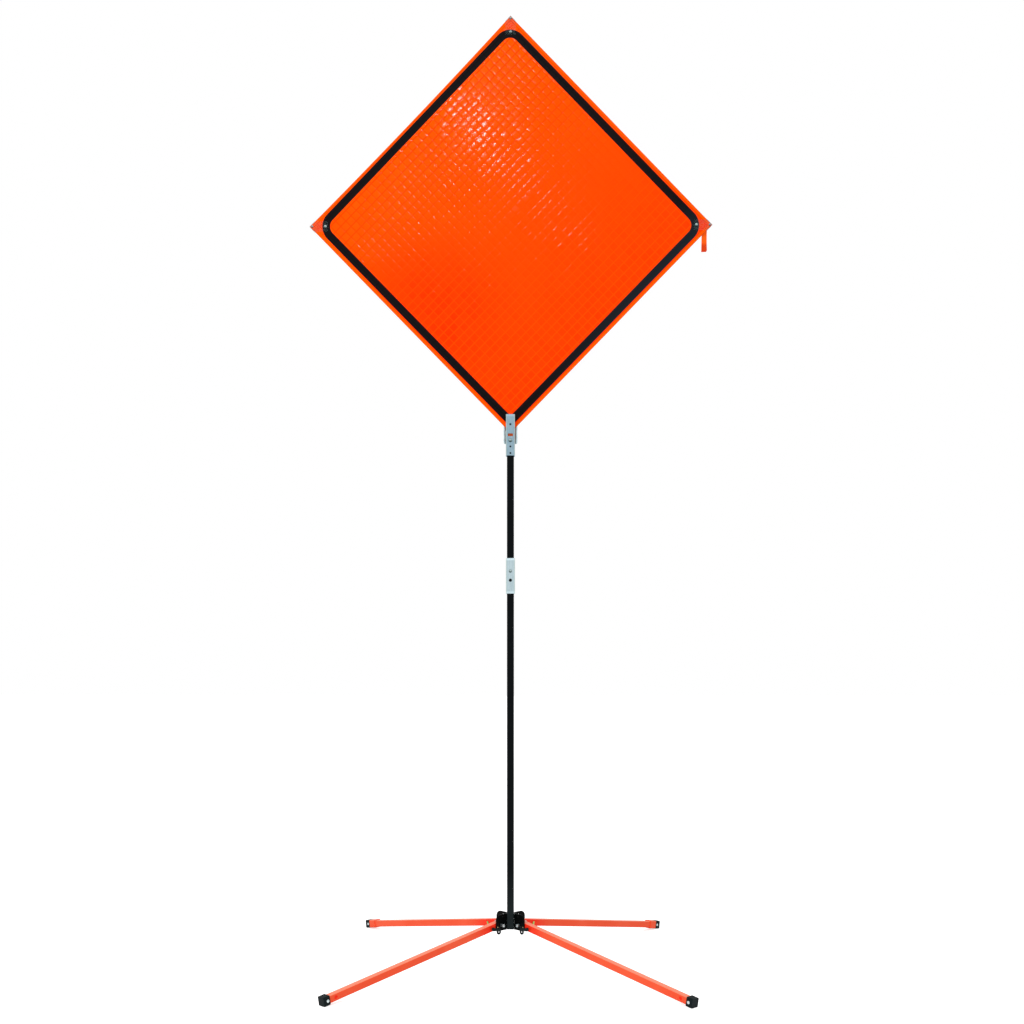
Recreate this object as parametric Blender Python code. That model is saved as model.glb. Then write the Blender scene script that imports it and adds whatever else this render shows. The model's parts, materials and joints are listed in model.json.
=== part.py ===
"""A roll-up road sign on its folding stand: four square legs on a hub, a mast in two
lengths, a bracket that clamps the sign's upright rib, and the sign with its crossed ribs.
Metres, +Z up. The sign faces -Y. The origin is on the floor under the mast's axis."""

from math import asin, atan, atan2, cos, hypot, pi, radians, sin

import bmesh
import bpy
from mathutils import Matrix, Vector
from mathutils.geometry import tessellate_polygon

# Fits
fit_gap = 0.0003
overrun = 0.002
round_sides = 16
hole_sides = 12
corner_steps = 2

# Mast, in two lengths of one square tube
mast_side = 0.0222
mast_wall = 0.0020
mast_corner_radius = 0.0024
mast_split_height = 1.2430
mast_top_height = 1.6660

# Sleeve tube of the coupler and the sign post, which slips over the mast
sleeve_wall = 0.0029
sleeve_corner_radius = 0.0032

# Coupler with its snap button and its bare lower hole
coupler_drop = 0.0553
coupler_length = 0.1124
coupler_lower_hole_drop = 0.0130
button_rise = 0.0162
button_radius = 0.0047
button_play = 0.0004
button_proud = 0.0036
button_flange_radius = 0.0070
button_flange_thickness = 0.0015

# Hub: two bent plates that clasp the mast, each with a wing to the front and to the rear
hub_plate = 0.0030
hub_below_pivot = 0.0184
hub_above_pivot = 0.0338
wing_length = 0.0460
wing_bend_inset = 0.0011
wing_top_radius = 0.0180
wing_bottom_radius = 0.0040
wing_hole_radius = 0.0022
wing_hole_reach = 0.0170
wing_hole_drop = 0.0085
hub_bolt_radius = 0.0030
hub_bolt_across = 0.0100
hub_bolt_head = 0.0042
hub_bolt_lower_rise = 0.0117
hub_bolt_upper_drop = 0.0120

# Legs
leg_side = 0.0222
leg_wall = 0.0020
leg_corner_radius = 0.0024
leg_length = 0.6961
leg_play = 0.0005
pivot_height = 0.1272
pivot_clearance = 0.0144
pivot_bolt_radius = 0.0038
pivot_head_radius = 0.0070
pivot_head_height = 0.0035
barrel_radius = 0.0048
barrel_length = 0.0140
side_dimple_radius = 0.0056
side_dimple_depth = 0.0010
side_dimple_from_cap = 0.0220

# Feet
cap_wall = 0.0029
cap_length = 0.0220
cap_end_wall = 0.0030
cap_corner_radius = 0.0034
foot_flat = 0.0006
collar_length = 0.0294
foot_rivet_from_rim = 0.0078
foot_rivet_radius = 0.0024
foot_rivet_head_radius = 0.0047
foot_rivet_head_height = 0.0020

# Lock levers, each on a pin through its leg, and the studs that they hook
lever_thickness = 0.0025
lever_pin_clearance = 0.0163
lever_pin_drop = 0.0021
lever_end_radius = 0.0062
lever_eye_radius = 0.0085
lever_eye_hole_radius = 0.0028
lever_eye_drop = 0.0156
lever_notch_play = 0.0011
lever_notch_depth = 0.0032
lever_arm_height = 0.0090
lever_hook_width = 0.0040
lever_hook_clearance = 0.0034
lever_pin_radius = 0.0020
lever_tail_thickness = 0.0015
lever_tail_length = 0.0135
lever_tail_width = 0.0070
lever_tail_lean_degrees = 12.0
stud_drop = 0.0016
stud_radius = 0.0020
stud_head_radius = 0.0026
stud_head_height = 0.0012

# Sign post
post_overlap = 0.0412
post_length = 0.1301
post_hole_radius = 0.0034
post_slot_width = 0.0160
post_slot_tall = 0.0086
post_slot_corner_radius = 0.0015
post_slot_rise = 0.0172
post_slot_rear_over = 0.0062
post_low_hole_radius = 0.0031
post_low_hole_rises = (0.0284, 0.0076)
post_rivet_radius = 0.0024
post_rivet_head_radius = 0.0048
post_rivet_head_height = 0.0016

# Saddle behind the post, its bolt and the stop that the rib stands on
saddle_side_clearance = 0.0047
saddle_plate = 0.0030
saddle_base_drop = 0.0097
saddle_ear_base_drop = 0.0039
saddle_tab_width = 0.0250
saddle_corner_radius = 0.0045
saddle_ear_top_rise = 0.0333
saddle_ear_front = 0.0030
bracket_bolt_rise = 0.0067
bracket_bolt_radius = 0.0040
bracket_bolt_head_radius = 0.0062
bracket_bolt_head_height = 0.0032
bracket_nut_across = 0.0130
bracket_nut_height = 0.0065
rib_stop_radius = 0.0070

# Clamp behind the saddle
clamp_rise = 0.0504
clamp_travel = 0.00375
pad_radius = 0.0080
pad_thickness = 0.0030
pad_socket_depth = 0.0016
screw_radius = 0.0040
screw_nose_radius = 0.0029
weld_nut_across = 0.0130
weld_nut_height = 0.0065
screw_clear_length = 0.0090
screw_head_radius = 0.0070
screw_head_length = 0.0120
handle_radius = 0.0035
handle_length = 0.0800

# Sign
sheet_side = 0.9144
sheet_half_width = 0.6393
sheet_thickness = 0.0012
sheet_play = 0.0005
sheet_rise = 0.0217
rib_width = 0.0254
rib_thickness = 0.0050
cross_rib_width = 0.0254
cross_rib_thickness = 0.0050
cross_rib_steps = 24
rib_tip_inset = 0.0018
rib_bolt_radius = 0.0030
rib_bolt_head_radius = 0.0060
rib_bolt_head_height = 0.0030
rib_nut_across = 0.0100
rib_nut_height = 0.0050

# Corner pockets and their rivets
pocket_half_width = 0.0165
pocket_reach = 0.0580
pocket_leaf = 0.0007
pocket_tip = 0.0018
pocket_inner_tip = 0.0008
tip_rivet_reach = 0.0075
inner_rivet_reach = 0.0495
sign_rivet_radius = 0.0022
tip_rivet_head_radius = 0.0036
inner_rivet_head_radius = 0.0047
sign_rivet_head_height = 0.0018
low_rivet_rise = 0.0383

# Tie strap behind the sign's right corner
strap_width = 0.0160
strap_thickness = 0.0026
strap_from_tip = 0.0235
strap_top_rise = 0.0065
strap_length = 0.0880
strap_sway = 0.0030
strap_curl_degrees = 14.0
strap_steps = 14

# Places worked out from the sizes above, on the mast from the floor up
sleeve_side = mast_side + 2 * (fit_gap + sleeve_wall)
cap_side = leg_side + 2 * cap_wall
hub_base_height = pivot_height - hub_below_pivot
hub_top_height = pivot_height + hub_above_pivot
hub_bolt_heights = (hub_base_height + hub_bolt_lower_rise, hub_top_height - hub_bolt_upper_drop)
wing_hole_height = hub_top_height - wing_hole_drop
coupler_base_height = mast_split_height - coupler_drop
coupler_lower_hole_height = mast_split_height - coupler_lower_hole_drop
coupler_hole_radius = button_radius + button_play
button_height = mast_split_height + button_rise
post_base_height = mast_top_height - post_overlap
post_top_height = post_base_height + post_length
post_low_hole_heights = [post_base_height + rise for rise in post_low_hole_rises]
bracket_bolt_height = mast_top_height + bracket_bolt_rise
post_slot_height = bracket_bolt_height + post_slot_rise
clamp_height = bracket_bolt_height + clamp_rise
saddle_base_height = bracket_bolt_height - saddle_base_drop
saddle_ear_base_height = bracket_bolt_height - saddle_ear_base_drop
saddle_ear_top_height = bracket_bolt_height + saddle_ear_top_rise
saddle_width = sleeve_side + 2 * (saddle_side_clearance + saddle_plate)
rib_base_height = bracket_bolt_height + rib_stop_radius + fit_gap
sheet_base_height = rib_base_height + sheet_rise
low_rivet_height = sheet_base_height + low_rivet_rise
sheet_half_height = (sheet_side**2 - sheet_half_width**2) ** 0.5
sign_middle_height = sheet_base_height + sheet_half_height

# Places worked out from the sizes above, from the post's rear face back
sheet_front = sleeve_side / 2 + sheet_play + sign_rivet_head_height + fit_gap
sheet_back = sheet_front + sheet_thickness
rib_front = sheet_back + fit_gap
rib_back = rib_front + rib_thickness
cross_rib_bow = rib_back + fit_gap - rib_front
pad_front = rib_back + fit_gap
saddle_inner = pad_front + pad_thickness + clamp_travel + fit_gap
saddle_outer = saddle_inner + saddle_plate
pocket_front = sheet_front - fit_gap - pocket_leaf
pocket_back = rib_front + max(rib_thickness, cross_rib_thickness) + fit_gap + pocket_leaf
pad_socket_radius = screw_nose_radius + fit_gap

# Places worked out from the sizes above, at the hub and along a leg
wing_bend_x = mast_side / 2 + fit_gap + hub_plate / 2
wing_bend_from_middle = mast_side / 2 - wing_bend_inset
wing_offset = leg_side / 2 + leg_play + hub_plate / 2
pivot_reach = leg_side / 2 + pivot_clearance
lever_inner = wing_offset + hub_plate / 2 + stud_head_height + fit_gap
lever_outer = lever_inner + lever_thickness
lever_pin_reach = wing_length - pivot_reach + lever_pin_clearance
lever_notch_half = stud_radius + lever_notch_play
lever_hook_reach = barrel_radius + lever_hook_clearance + lever_hook_width
stud_back = lever_pin_reach - lever_hook_reach - lever_notch_half
foot_rivet_reach = leg_length - cap_length + foot_rivet_from_rim
foot_radius = hypot(leg_length, cap_side / 2)
leg_slope = asin((pivot_height + foot_flat) / foot_radius) - atan(cap_side / 2 / leg_length)
floor_side = 2 * (leg_length + wing_length + mast_side)
diagonal = 0.5**0.5
leg_corners = {
    "front_left": (-1, -1),
    "front_right": (1, -1),
    "rear_left": (-1, 1),
    "rear_right": (1, 1),
}


def clear_scene():
    for thing in list(bpy.data.objects):
        bpy.data.objects.remove(thing, do_unlink=True)


def finish(name, colour, roughness, metallic=0.0, alpha=1.0):
    """A Principled material in one colour."""
    material = bpy.data.materials.new(name)
    material.use_nodes = True
    shader = material.node_tree.nodes["Principled BSDF"]
    shader.inputs["Base Color"].default_value = (*colour, 1.0)
    shader.inputs["Roughness"].default_value = roughness
    shader.inputs["Metallic"].default_value = metallic
    shader.inputs["Alpha"].default_value = alpha
    material.diffuse_color = (*colour, alpha)
    return material


# Outlines, as lists of points in a plane


def arc(middle, radius, start, end, steps):
    """Points along an arc, from start to end in degrees."""
    turns = [radians(start + (end - start) * i / steps) for i in range(steps + 1)]
    return [(middle[0] + radius * cos(a), middle[1] + radius * sin(a)) for a in turns]


def circle(middle, radius, sides=hole_sides):
    """A circle's points, half a step off the axes, where the edges of a wall's faces run."""
    half_step = 180 / sides
    return arc(middle, radius, half_step, half_step + 360, sides)[:-1]


def rounded_box(width, height, radius, steps=corner_steps):
    """A rectangle round the origin with rounded corners."""
    x, y = width / 2 - radius, height / 2 - radius
    middles = ((x, y, 0), (-x, y, 90), (-x, -y, 180), (x, -y, 270))
    return [p for mx, my, a in middles for p in arc((mx, my), radius, a, a + 90, steps)]


def stadium(x0, x1, radius, steps):
    """A bar from x0 to x1 with round ends."""
    left = arc((x0 + radius, 0), radius, 90, 270, steps)
    right = arc((x1 - radius, 0), radius, -90, 90, steps)
    return left + right


def hexagon(across):
    return arc((0, 0), across / 2 / cos(pi / 6), 0, 360, 6)[:-1]


def thick_path(points, thickness):
    """A line of even thickness through the points, with mitred bends."""
    sides = ([], [])
    for i, point in enumerate(points):
        here = Vector(point)
        before = here - Vector(points[max(i - 1, 0)])
        after = Vector(points[min(i + 1, len(points) - 1)]) - here
        ways = [way.normalized() for way in (before, after) if way.length]
        along = sum(ways, Vector((0, 0))).normalized()
        across = Vector((-along.y, along.x))
        reach = thickness / 2 / across.dot(Vector((-ways[0].y, ways[0].x)))
        for sign, side in ((1, sides[0]), (-1, sides[1])):
            side.append(tuple(here + sign * reach * across))
    return sides[0] + sides[1][::-1]


# Meshes


def solid_mesh(name, points, faces, smooth=True):
    """A closed mesh with its faces turned outward, shaded smooth where it is round."""
    mesh = bpy.data.meshes.new(name)
    mesh.from_pydata(points, [], faces)
    work = bmesh.new()
    work.from_mesh(mesh)
    bmesh.ops.recalc_face_normals(work, faces=work.faces[:])
    work.to_mesh(mesh)
    work.free()
    if smooth:
        mesh.shade_smooth()
        mesh.set_sharp_from_angle(angle=radians(35))
    return mesh


def plate_mesh(name, outline, holes, low, high):
    """The outline with its holes, as a plate between two heights along local Z."""
    loops = [outline, *holes]
    flat = [[Vector((x, y, 0)) for x, y in loop] for loop in loops]
    points = [point for loop in loops for point in loop]
    count = len(points)
    faces = [tuple(face) for face in tessellate_polygon(flat)]
    faces += [tuple(i + count for i in face) for face in faces]
    start = 0
    for loop in loops:
        size = len(loop)
        for i in range(size):
            a, b = start + i, start + (i + 1) % size
            faces.append((a, b, b + count, a + count))
        start += size
    places = [(x, y, z) for z in (low, high) for x, y in points]
    return solid_mesh(name, places, faces, smooth=False)


def turned_mesh(name, profile, sides=round_sides):
    """A round piece on local Z, from its (radius, height) points, axis to axis."""
    points, rings = [], []
    for radius, height in profile:
        first = len(points)
        count = sides if radius else 1
        for i in range(count):
            a = 2 * pi * (i + 1 / 2) / sides
            points.append((radius * cos(a), radius * sin(a), height))
        rings.append([first + i % count for i in range(sides)])
    faces = []
    for low, high in zip(rings, rings[1:]):
        for i in range(sides):
            j = (i + 1) % sides
            corners = dict.fromkeys((low[i], low[j], high[j], high[i]))
            faces.append(tuple(corners))
    return solid_mesh(name, points, faces)


def dome(radius, height, base, steps=3):
    """Profile points of a low dome, from its rim at height base up to the axis."""
    ball = (radius**2 + height**2) / (2 * height)
    rim = asin(radius / ball)
    turns = [rim * (1 - i / steps) for i in range(steps)]
    rise = ball - height
    return [(ball * sin(a), base + ball * cos(a) - rise) for a in turns] + [(0, base + height)]


def upside_down(profile, about=0.0):
    """The profile mirrored about a height, in the order that a turned piece needs."""
    return [(radius, 2 * about - height) for radius, height in reversed(profile)]


# Objects, placed in their parent's frame

along_z = Matrix.Identity(4)
along_y = Matrix.Rotation(radians(-90), 4, "X")
against_y = Matrix.Rotation(radians(90), 4, "X")
along_x = Matrix(((0, 0, 1, 0), (1, 0, 0, 0), (0, 1, 0, 0), (0, 0, 0, 1)))


def at(x, y, z):
    return Matrix.Translation((x, y, z))


def frame(name, matrix, parent=None):
    """An empty that carries pieces and, where they move, sits on their joint's axis."""
    empty = bpy.data.objects.new(name, None)
    bpy.context.scene.collection.objects.link(empty)
    empty.empty_display_size = mast_side
    empty.parent = parent
    empty.matrix_local = matrix
    return empty


def piece(name, mesh, material, matrix=along_z, parent=None):
    thing = bpy.data.objects.new(name, mesh)
    bpy.context.scene.collection.objects.link(thing)
    mesh.materials.append(material)
    thing.parent = parent
    thing.matrix_local = matrix
    return thing


def helper(mesh, matrix, parent):
    """A shape that only cuts or joins, and isn't part of the object."""
    thing = piece("helper_" + mesh.name, mesh, finishes["guide"], matrix, parent)
    thing.hide_render = True
    thing.display_type = "WIRE"
    return thing


def combine(thing, other, operation):
    step = thing.modifiers.new(operation.lower(), "BOOLEAN")
    step.operation = operation
    step.object = other
    return thing


def slab_mesh(name, outline, holes, y0, y1):
    """A plate whose outline lies in the XZ plane, from y0 to y1, for use with against_y."""
    return plate_mesh(name, outline, holes, -max(y0, y1), -min(y0, y1))


def drill(thing, radius, matrix, length, parent=None, sides=hole_sides):
    """A round hole along the matrix's local Z, centred on it."""
    mesh = plate_mesh("drill", circle((0, 0), radius, sides), [], -length / 2, length / 2)
    return combine(thing, helper(mesh, matrix, parent), "DIFFERENCE")


def cut_slab(thing, outline, y0, y1, parent=None):
    mesh = slab_mesh("cut", outline, [], y0, y1)
    return combine(thing, helper(mesh, against_y, parent), "DIFFERENCE")


def outside_corner(x, z, radius, way_x, way_z):
    """What lies outside a rounded corner at (x, z), which points to way_x and way_z."""
    mx, mz = x - way_x * radius, z - way_z * radius
    start = {(1, 1): 0, (-1, 1): 90, (-1, -1): 180, (1, -1): 270}[(way_x, way_z)]
    rim = arc((mx, mz), radius, start, start + 90, 5)
    first, last = rim[0], rim[-1]
    over = [
        (first[0] + overrun * (way_x if abs(first[1] - mz) < fit_gap else 0),
         first[1] + overrun * (way_z if abs(first[0] - mx) < fit_gap else 0)),
        (last[0] + overrun * (way_x if abs(last[1] - mz) < fit_gap else 0),
         last[1] + overrun * (way_z if abs(last[0] - mx) < fit_gap else 0)),
    ]
    return [over[0], *rim, over[1], (x + way_x * overrun, z + way_z * overrun)]


def square_tube(name, side, wall, radius, low, high, material, matrix=along_z, parent=None):
    outer = rounded_box(side, side, radius)
    bore = side - 2 * wall
    inner = rounded_box(bore, bore, max(radius - wall, wall / 4))
    return piece(name, plate_mesh(name, outer, [inner], low, high), material, matrix, parent)


def bolt_and_nut(name, material, profile, across, nut_low, nut_height, matrix):
    """A turned bolt with its hexagon nut run up to the work, as one fastener."""
    bolt = piece(name, turned_mesh(name, profile), material, matrix)
    nut = plate_mesh("nut", hexagon(across), [], nut_low, nut_low + nut_height)
    return combine(bolt, helper(nut, matrix, None), "UNION")


# Mast and coupler


def build_mast():
    lower = square_tube(
        "mast_lower", mast_side, mast_wall, mast_corner_radius,
        hub_base_height, mast_split_height, finishes["black_coat"],
    )
    for height in hub_bolt_heights:
        hole = at(0, 0, height) @ along_x
        drill(lower, hub_bolt_radius + fit_gap, hole, mast_side + 2 * overrun)
    upper = square_tube(
        "mast_upper", mast_side, mast_wall, mast_corner_radius,
        mast_split_height + fit_gap, mast_top_height, finishes["black_coat"],
    )
    front_hole = at(0, -mast_side / 2, button_height) @ along_y
    drill(upper, button_radius + fit_gap, front_hole, 2 * mast_wall + overrun)
    for height in post_low_hole_heights:
        rear_hole = at(0, mast_side / 2, height) @ along_y
        drill(upper, post_rivet_radius + fit_gap, rear_hole, 2 * mast_wall + overrun)


def build_coupler():
    coupler = square_tube(
        "mast_coupler", sleeve_side, sleeve_wall, sleeve_corner_radius,
        coupler_base_height, coupler_base_height + coupler_length, finishes["zinc"],
    )
    for height in (button_height, coupler_lower_hole_height):
        hole = at(0, -sleeve_side / 2, height) @ along_y
        drill(coupler, coupler_hole_radius, hole, 2 * sleeve_wall + overrun, sides=round_sides)
    seat = frame("snap_button_axis", at(0, 0, button_height))
    inner = mast_side / 2 - mast_wall - fit_gap
    face = sleeve_side / 2
    straight = button_proud / 3
    profile = [
        (0, inner - button_flange_thickness),
        (button_flange_radius, inner - button_flange_thickness),
        (button_flange_radius, inner),
        (button_radius, inner),
        *dome(button_radius, button_proud - straight, face + straight, 3),
    ]
    mesh = turned_mesh("snap_button", profile)
    piece("snap_button", mesh, finishes["bright_zinc"], against_y, seat)


# Hub


def build_hub():
    bolt_reach = mast_side / 2 + fit_gap + hub_plate + fit_gap
    for name, side in (("left", -1), ("right", 1)):
        bend = [(side * wing_bend_x, y * wing_bend_from_middle) for y in (-1, 1)]
        reach = diagonal * wing_length
        ends = [(x + side * reach, y + way * reach) for (x, y), way in zip(bend, (-1, 1))]
        outline = thick_path([ends[0], *bend, ends[1]], hub_plate)
        label = "hub_bracket_" + name
        mesh = plate_mesh(label, outline, [], hub_base_height, hub_top_height)
        bracket = piece(label, mesh, finishes["black_coat"])
        for height in hub_bolt_heights:
            hole = at(side * wing_bend_x, 0, height) @ along_x
            drill(bracket, hub_bolt_radius + fit_gap, hole, hub_plate + 2 * overrun)
        for corner, (way_x, way_y) in leg_corners.items():
            if way_x == side:
                shape_wing(bracket, corner, way_x, way_y)
    for name, height in zip(("lower", "upper"), hub_bolt_heights):
        profile = [
            (0, -bolt_reach - hub_bolt_head),
            (hub_bolt_across / 2, -bolt_reach - hub_bolt_head),
            (hub_bolt_across / 2, -bolt_reach),
            (hub_bolt_radius, -bolt_reach),
            (hub_bolt_radius, bolt_reach + hub_bolt_head + overrun),
            (0, bolt_reach + hub_bolt_head + overrun),
        ]
        bolt_and_nut(
            "hub_bolt_" + name, finishes["bright_zinc"], profile,
            hub_bolt_across, bolt_reach, hub_bolt_head, at(0, 0, height) @ along_x,
        )


def wing_frame(corner, way_x, way_y):
    """The frame of a wing's middle plane: X out along the wing, from its bend."""
    place = at(way_x * wing_bend_x, way_y * wing_bend_from_middle, 0)
    return frame(corner + "_wing", place @ Matrix.Rotation(atan2(way_y, way_x), 4, "Z"))


def shape_wing(bracket, corner, way_x, way_y):
    """Rounds a wing's outer corners and drills it for the pivot bolt, the stud and a hole."""
    wing = wing_frame(corner, way_x, way_y)
    top = outside_corner(wing_length, hub_top_height, wing_top_radius, 1, 1)
    bottom = outside_corner(wing_length, hub_base_height, wing_bottom_radius, 1, -1)
    cut_slab(bracket, top, -hub_plate, hub_plate, wing)
    cut_slab(bracket, bottom, -hub_plate, hub_plate, wing)
    stud_x, stud_z = stud_place()
    holes = (
        (pivot_reach, pivot_height, pivot_bolt_radius + fit_gap),
        (stud_x, stud_z, stud_radius + fit_gap),
        (wing_hole_reach, wing_hole_height, wing_hole_radius),
    )
    for x, z, radius in holes:
        drill(bracket, radius, at(x, 0, z) @ along_y, 2 * hub_plate, wing)


def stud_place():
    """Where the stud sits in a wing's frame: in the lever's notch, with the leg at rest."""
    x, z = lever_pin_reach - stud_back, -lever_pin_drop - stud_drop
    return (
        pivot_reach + x * cos(leg_slope) + z * sin(leg_slope),
        pivot_height - x * sin(leg_slope) + z * cos(leg_slope),
    )


# Legs, with their feet, pivots and lock levers


def build_leg(corner, way_x, way_y):
    side = way_x * way_y
    facing = along_y if side > 0 else against_y
    wing = bpy.data.objects[corner + "_wing"]
    pivot = frame(
        corner + "_leg_pivot",
        at(pivot_reach, -side * wing_offset, pivot_height) @ Matrix.Rotation(leg_slope, 4, "Y"),
        wing,
    )
    build_leg_tube(corner, way_y, pivot)
    build_foot(corner, pivot)
    build_pivot_bolt(corner, facing, pivot)
    build_lever(corner, side, facing, pivot)
    stud_x, stud_z = stud_place()
    half = hub_plate / 2
    profile = [
        (0, -half),
        (stud_radius, -half),
        (stud_radius, half + fit_gap / 3),
        *dome(stud_head_radius, stud_head_height - fit_gap / 3, half + fit_gap / 3, 2),
    ]
    mesh = turned_mesh(corner + "_lock_stud", profile, hole_sides)
    piece(corner + "_lock_stud", mesh, finishes["brass"], at(stud_x, 0, stud_z) @ facing, wing)


def build_leg_tube(corner, way_y, pivot):
    tube_end = leg_length - cap_end_wall - fit_gap
    through = leg_side + 2 * overrun
    leg = square_tube(
        corner + "_leg", leg_side, leg_wall, leg_corner_radius,
        -leg_side / 2 - overrun, tube_end, finishes["orange_coat"], along_x, pivot,
    )
    round_end = stadium(-leg_side / 2, leg_length + leg_side, leg_side / 2 + fit_gap / 3, 8)
    envelope = slab_mesh("round_end", round_end, [], -leg_side, leg_side)
    combine(leg, helper(envelope, against_y, pivot), "INTERSECT")
    drill(leg, pivot_bolt_radius + fit_gap, along_y, through, pivot)
    pin = at(lever_pin_reach, 0, -lever_pin_drop) @ along_y
    drill(leg, lever_pin_radius + fit_gap, pin, through, pivot)
    foot = at(foot_rivet_reach, 0, 0) @ along_y
    drill(leg, foot_rivet_radius + fit_gap, foot, through, pivot)
    if way_y < 0:
        reach = leg_length - cap_length - side_dimple_from_cap
        for face in (-leg_side / 2, leg_side / 2):
            dimple = at(reach, face, 0) @ along_y
            drill(leg, side_dimple_radius, dimple, 2 * side_dimple_depth, pivot, round_sides)
    else:
        collar_end = leg_length - cap_length - fit_gap
        outer = rounded_box(cap_side, cap_side, cap_corner_radius)
        bore = leg_side - leg_wall
        inner = rounded_box(bore, bore, leg_corner_radius)
        collar = plate_mesh("collar", outer, [inner], collar_end - collar_length, collar_end)
        combine(leg, helper(collar, along_x, pivot), "UNION")


def build_foot(corner, pivot):
    name = corner + "_foot_cap"
    outer = rounded_box(cap_side, cap_side, cap_corner_radius)
    mesh = plate_mesh(name, outer, [], leg_length - cap_length, leg_length)
    cap = piece(name, mesh, finishes["rubber"], along_x, pivot)
    bore = leg_side + 2 * fit_gap
    hollow = plate_mesh(
        "hollow", rounded_box(bore, bore, leg_corner_radius), [],
        leg_length - cap_length - overrun, leg_length - cap_end_wall,
    )
    combine(cap, helper(hollow, along_x, pivot), "DIFFERENCE")
    middle = at(foot_rivet_reach, 0, 0)
    drill(cap, foot_rivet_radius + fit_gap, middle @ along_y, cap_side + 2 * overrun, pivot)
    combine(cap, bpy.data.objects["helper_floor"], "DIFFERENCE")
    rim = cap_side / 2 + fit_gap
    head = dome(foot_rivet_head_radius, foot_rivet_head_height, rim, 2)
    shank = (foot_rivet_radius, rim)
    profile = [*upside_down([shank, *head]), shank, *head]
    name = corner + "_foot_rivet"
    mesh = turned_mesh(name, profile, hole_sides)
    piece(name, mesh, finishes["bright_zinc"], middle @ along_y, pivot)


def build_pivot_bolt(corner, facing, pivot):
    """The bolt runs from its head on the leg's free side to a barrel nut on the wing."""
    head_base = leg_side / 2 + fit_gap
    barrel_base = wing_offset + hub_plate / 2 + fit_gap
    head = upside_down(dome(pivot_head_radius, pivot_head_height, head_base, 3))
    lip = barrel_radius / 8
    profile = [
        *head,
        (pivot_bolt_radius, -head_base),
        (pivot_bolt_radius, barrel_base),
        (barrel_radius, barrel_base),
        (barrel_radius, barrel_base + barrel_length - lip),
        (barrel_radius - lip, barrel_base + barrel_length),
        (0, barrel_base + barrel_length),
    ]
    name = corner + "_pivot_bolt"
    mesh = turned_mesh(name, profile)
    piece(name, mesh, finishes["bright_zinc"], Matrix.Rotation(-leg_slope, 4, "Y") @ facing, pivot)


def lever_outline():
    """The lever in its pin's frame: -X runs back towards the hub, and the eye hangs down."""
    notch_x, notch_z = -stud_back, -stud_drop
    rim = notch_z + lever_notch_depth - lever_notch_half / 2
    hook_x = notch_x - lever_notch_half - lever_hook_width
    eye = (-stud_back, -lever_eye_drop)
    neck = -lever_end_radius - lever_notch_half
    end = arc((0, 0), lever_end_radius, -90, 90, 8)
    notch = arc((notch_x, notch_z), lever_notch_half, 0, -180, 6)
    ring = arc(eye, lever_eye_radius, 150, 390, 12)
    return [
        *end,
        (neck, rim),
        (notch_x + lever_notch_half, rim),
        *notch,
        (notch_x - lever_notch_half, rim),
        (hook_x + lever_hook_width / 4, rim),
        (hook_x, rim - lever_hook_width / 4),
        *ring,
        (neck, rim - lever_arm_height),
    ]


def build_lever(corner, side, facing, pivot):
    axis = frame(corner + "_lever_pin_axis", at(lever_pin_reach, 0, -lever_pin_drop), pivot)
    name = corner + "_lock_lever"
    eye = circle((-stud_back, -lever_eye_drop), lever_eye_hole_radius)
    mesh = slab_mesh(name, lever_outline(), [eye], side * lever_inner, side * lever_outer)
    piece(name, mesh, finishes["black_coat"], against_y, axis)
    name = corner + "_lever_pin"
    free = leg_side / 2 + fit_gap
    profile = [
        (0, -free - lever_tail_thickness / 2),
        (lever_pin_radius, -free - lever_tail_thickness / 2),
        (lever_pin_radius, lever_inner - fit_gap),
        (0, lever_inner - fit_gap),
    ]
    pin = piece(name, turned_mesh(name, profile, hole_sides), finishes["yellow_zinc"], facing, axis)
    half = lever_tail_length / 2
    lean = Matrix.Rotation(radians(90 + lever_tail_lean_degrees), 4, "Y")
    tail = slab_mesh(
        "tail", stadium(-half, half, lever_tail_width / 2, 5), [],
        -side * free, -side * (free + lever_tail_thickness),
    )
    combine(pin, helper(tail, lean @ against_y, axis), "UNION")


# Sign post, saddle and clamp


def build_post():
    post = square_tube(
        "sign_post", sleeve_side, sleeve_wall, sleeve_corner_radius,
        post_base_height, post_top_height, finishes["zinc"],
    )
    through = sleeve_side + 2 * overrun
    drill(post, post_hole_radius, at(0, 0, clamp_height) @ along_y, through)
    bolt_hole = bracket_bolt_radius + fit_gap
    drill(post, bolt_hole, at(0, 0, bracket_bolt_height) @ along_y, through)
    for over, face in ((0.0, -through / 2), (post_slot_rear_over, through / 2)):
        window = rounded_box(post_slot_width, post_slot_tall + over, post_slot_corner_radius)
        raised = [(x, post_slot_height + over / 2 + z) for x, z in window]
        cut_slab(post, raised, 0, face)
    for height in post_low_hole_heights:
        front = at(0, -sleeve_side / 2, height) @ along_y
        rear = at(0, sleeve_side / 2, height) @ along_y
        drill(post, post_low_hole_radius, front, 2 * sleeve_wall + overrun)
        drill(post, post_rivet_radius + fit_gap, rear, 2 * sleeve_wall + overrun)
    outer = sleeve_side / 2 + fit_gap
    inner = mast_side / 2 - mast_wall - fit_gap
    bulb = post_rivet_radius + mast_wall / 2
    profile = [
        (0, inner - mast_wall),
        (bulb, inner - mast_wall),
        (bulb, inner),
        (post_rivet_radius, inner),
        (post_rivet_radius, outer),
        *dome(post_rivet_head_radius, post_rivet_head_height, outer, 2),
    ]
    for name, height in zip(("upper", "lower"), post_low_hole_heights):
        label = "post_rivet_" + name
        mesh = turned_mesh(label, profile, hole_sides)
        piece(label, mesh, finishes["bright_zinc"], at(0, 0, height) @ along_y)


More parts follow.
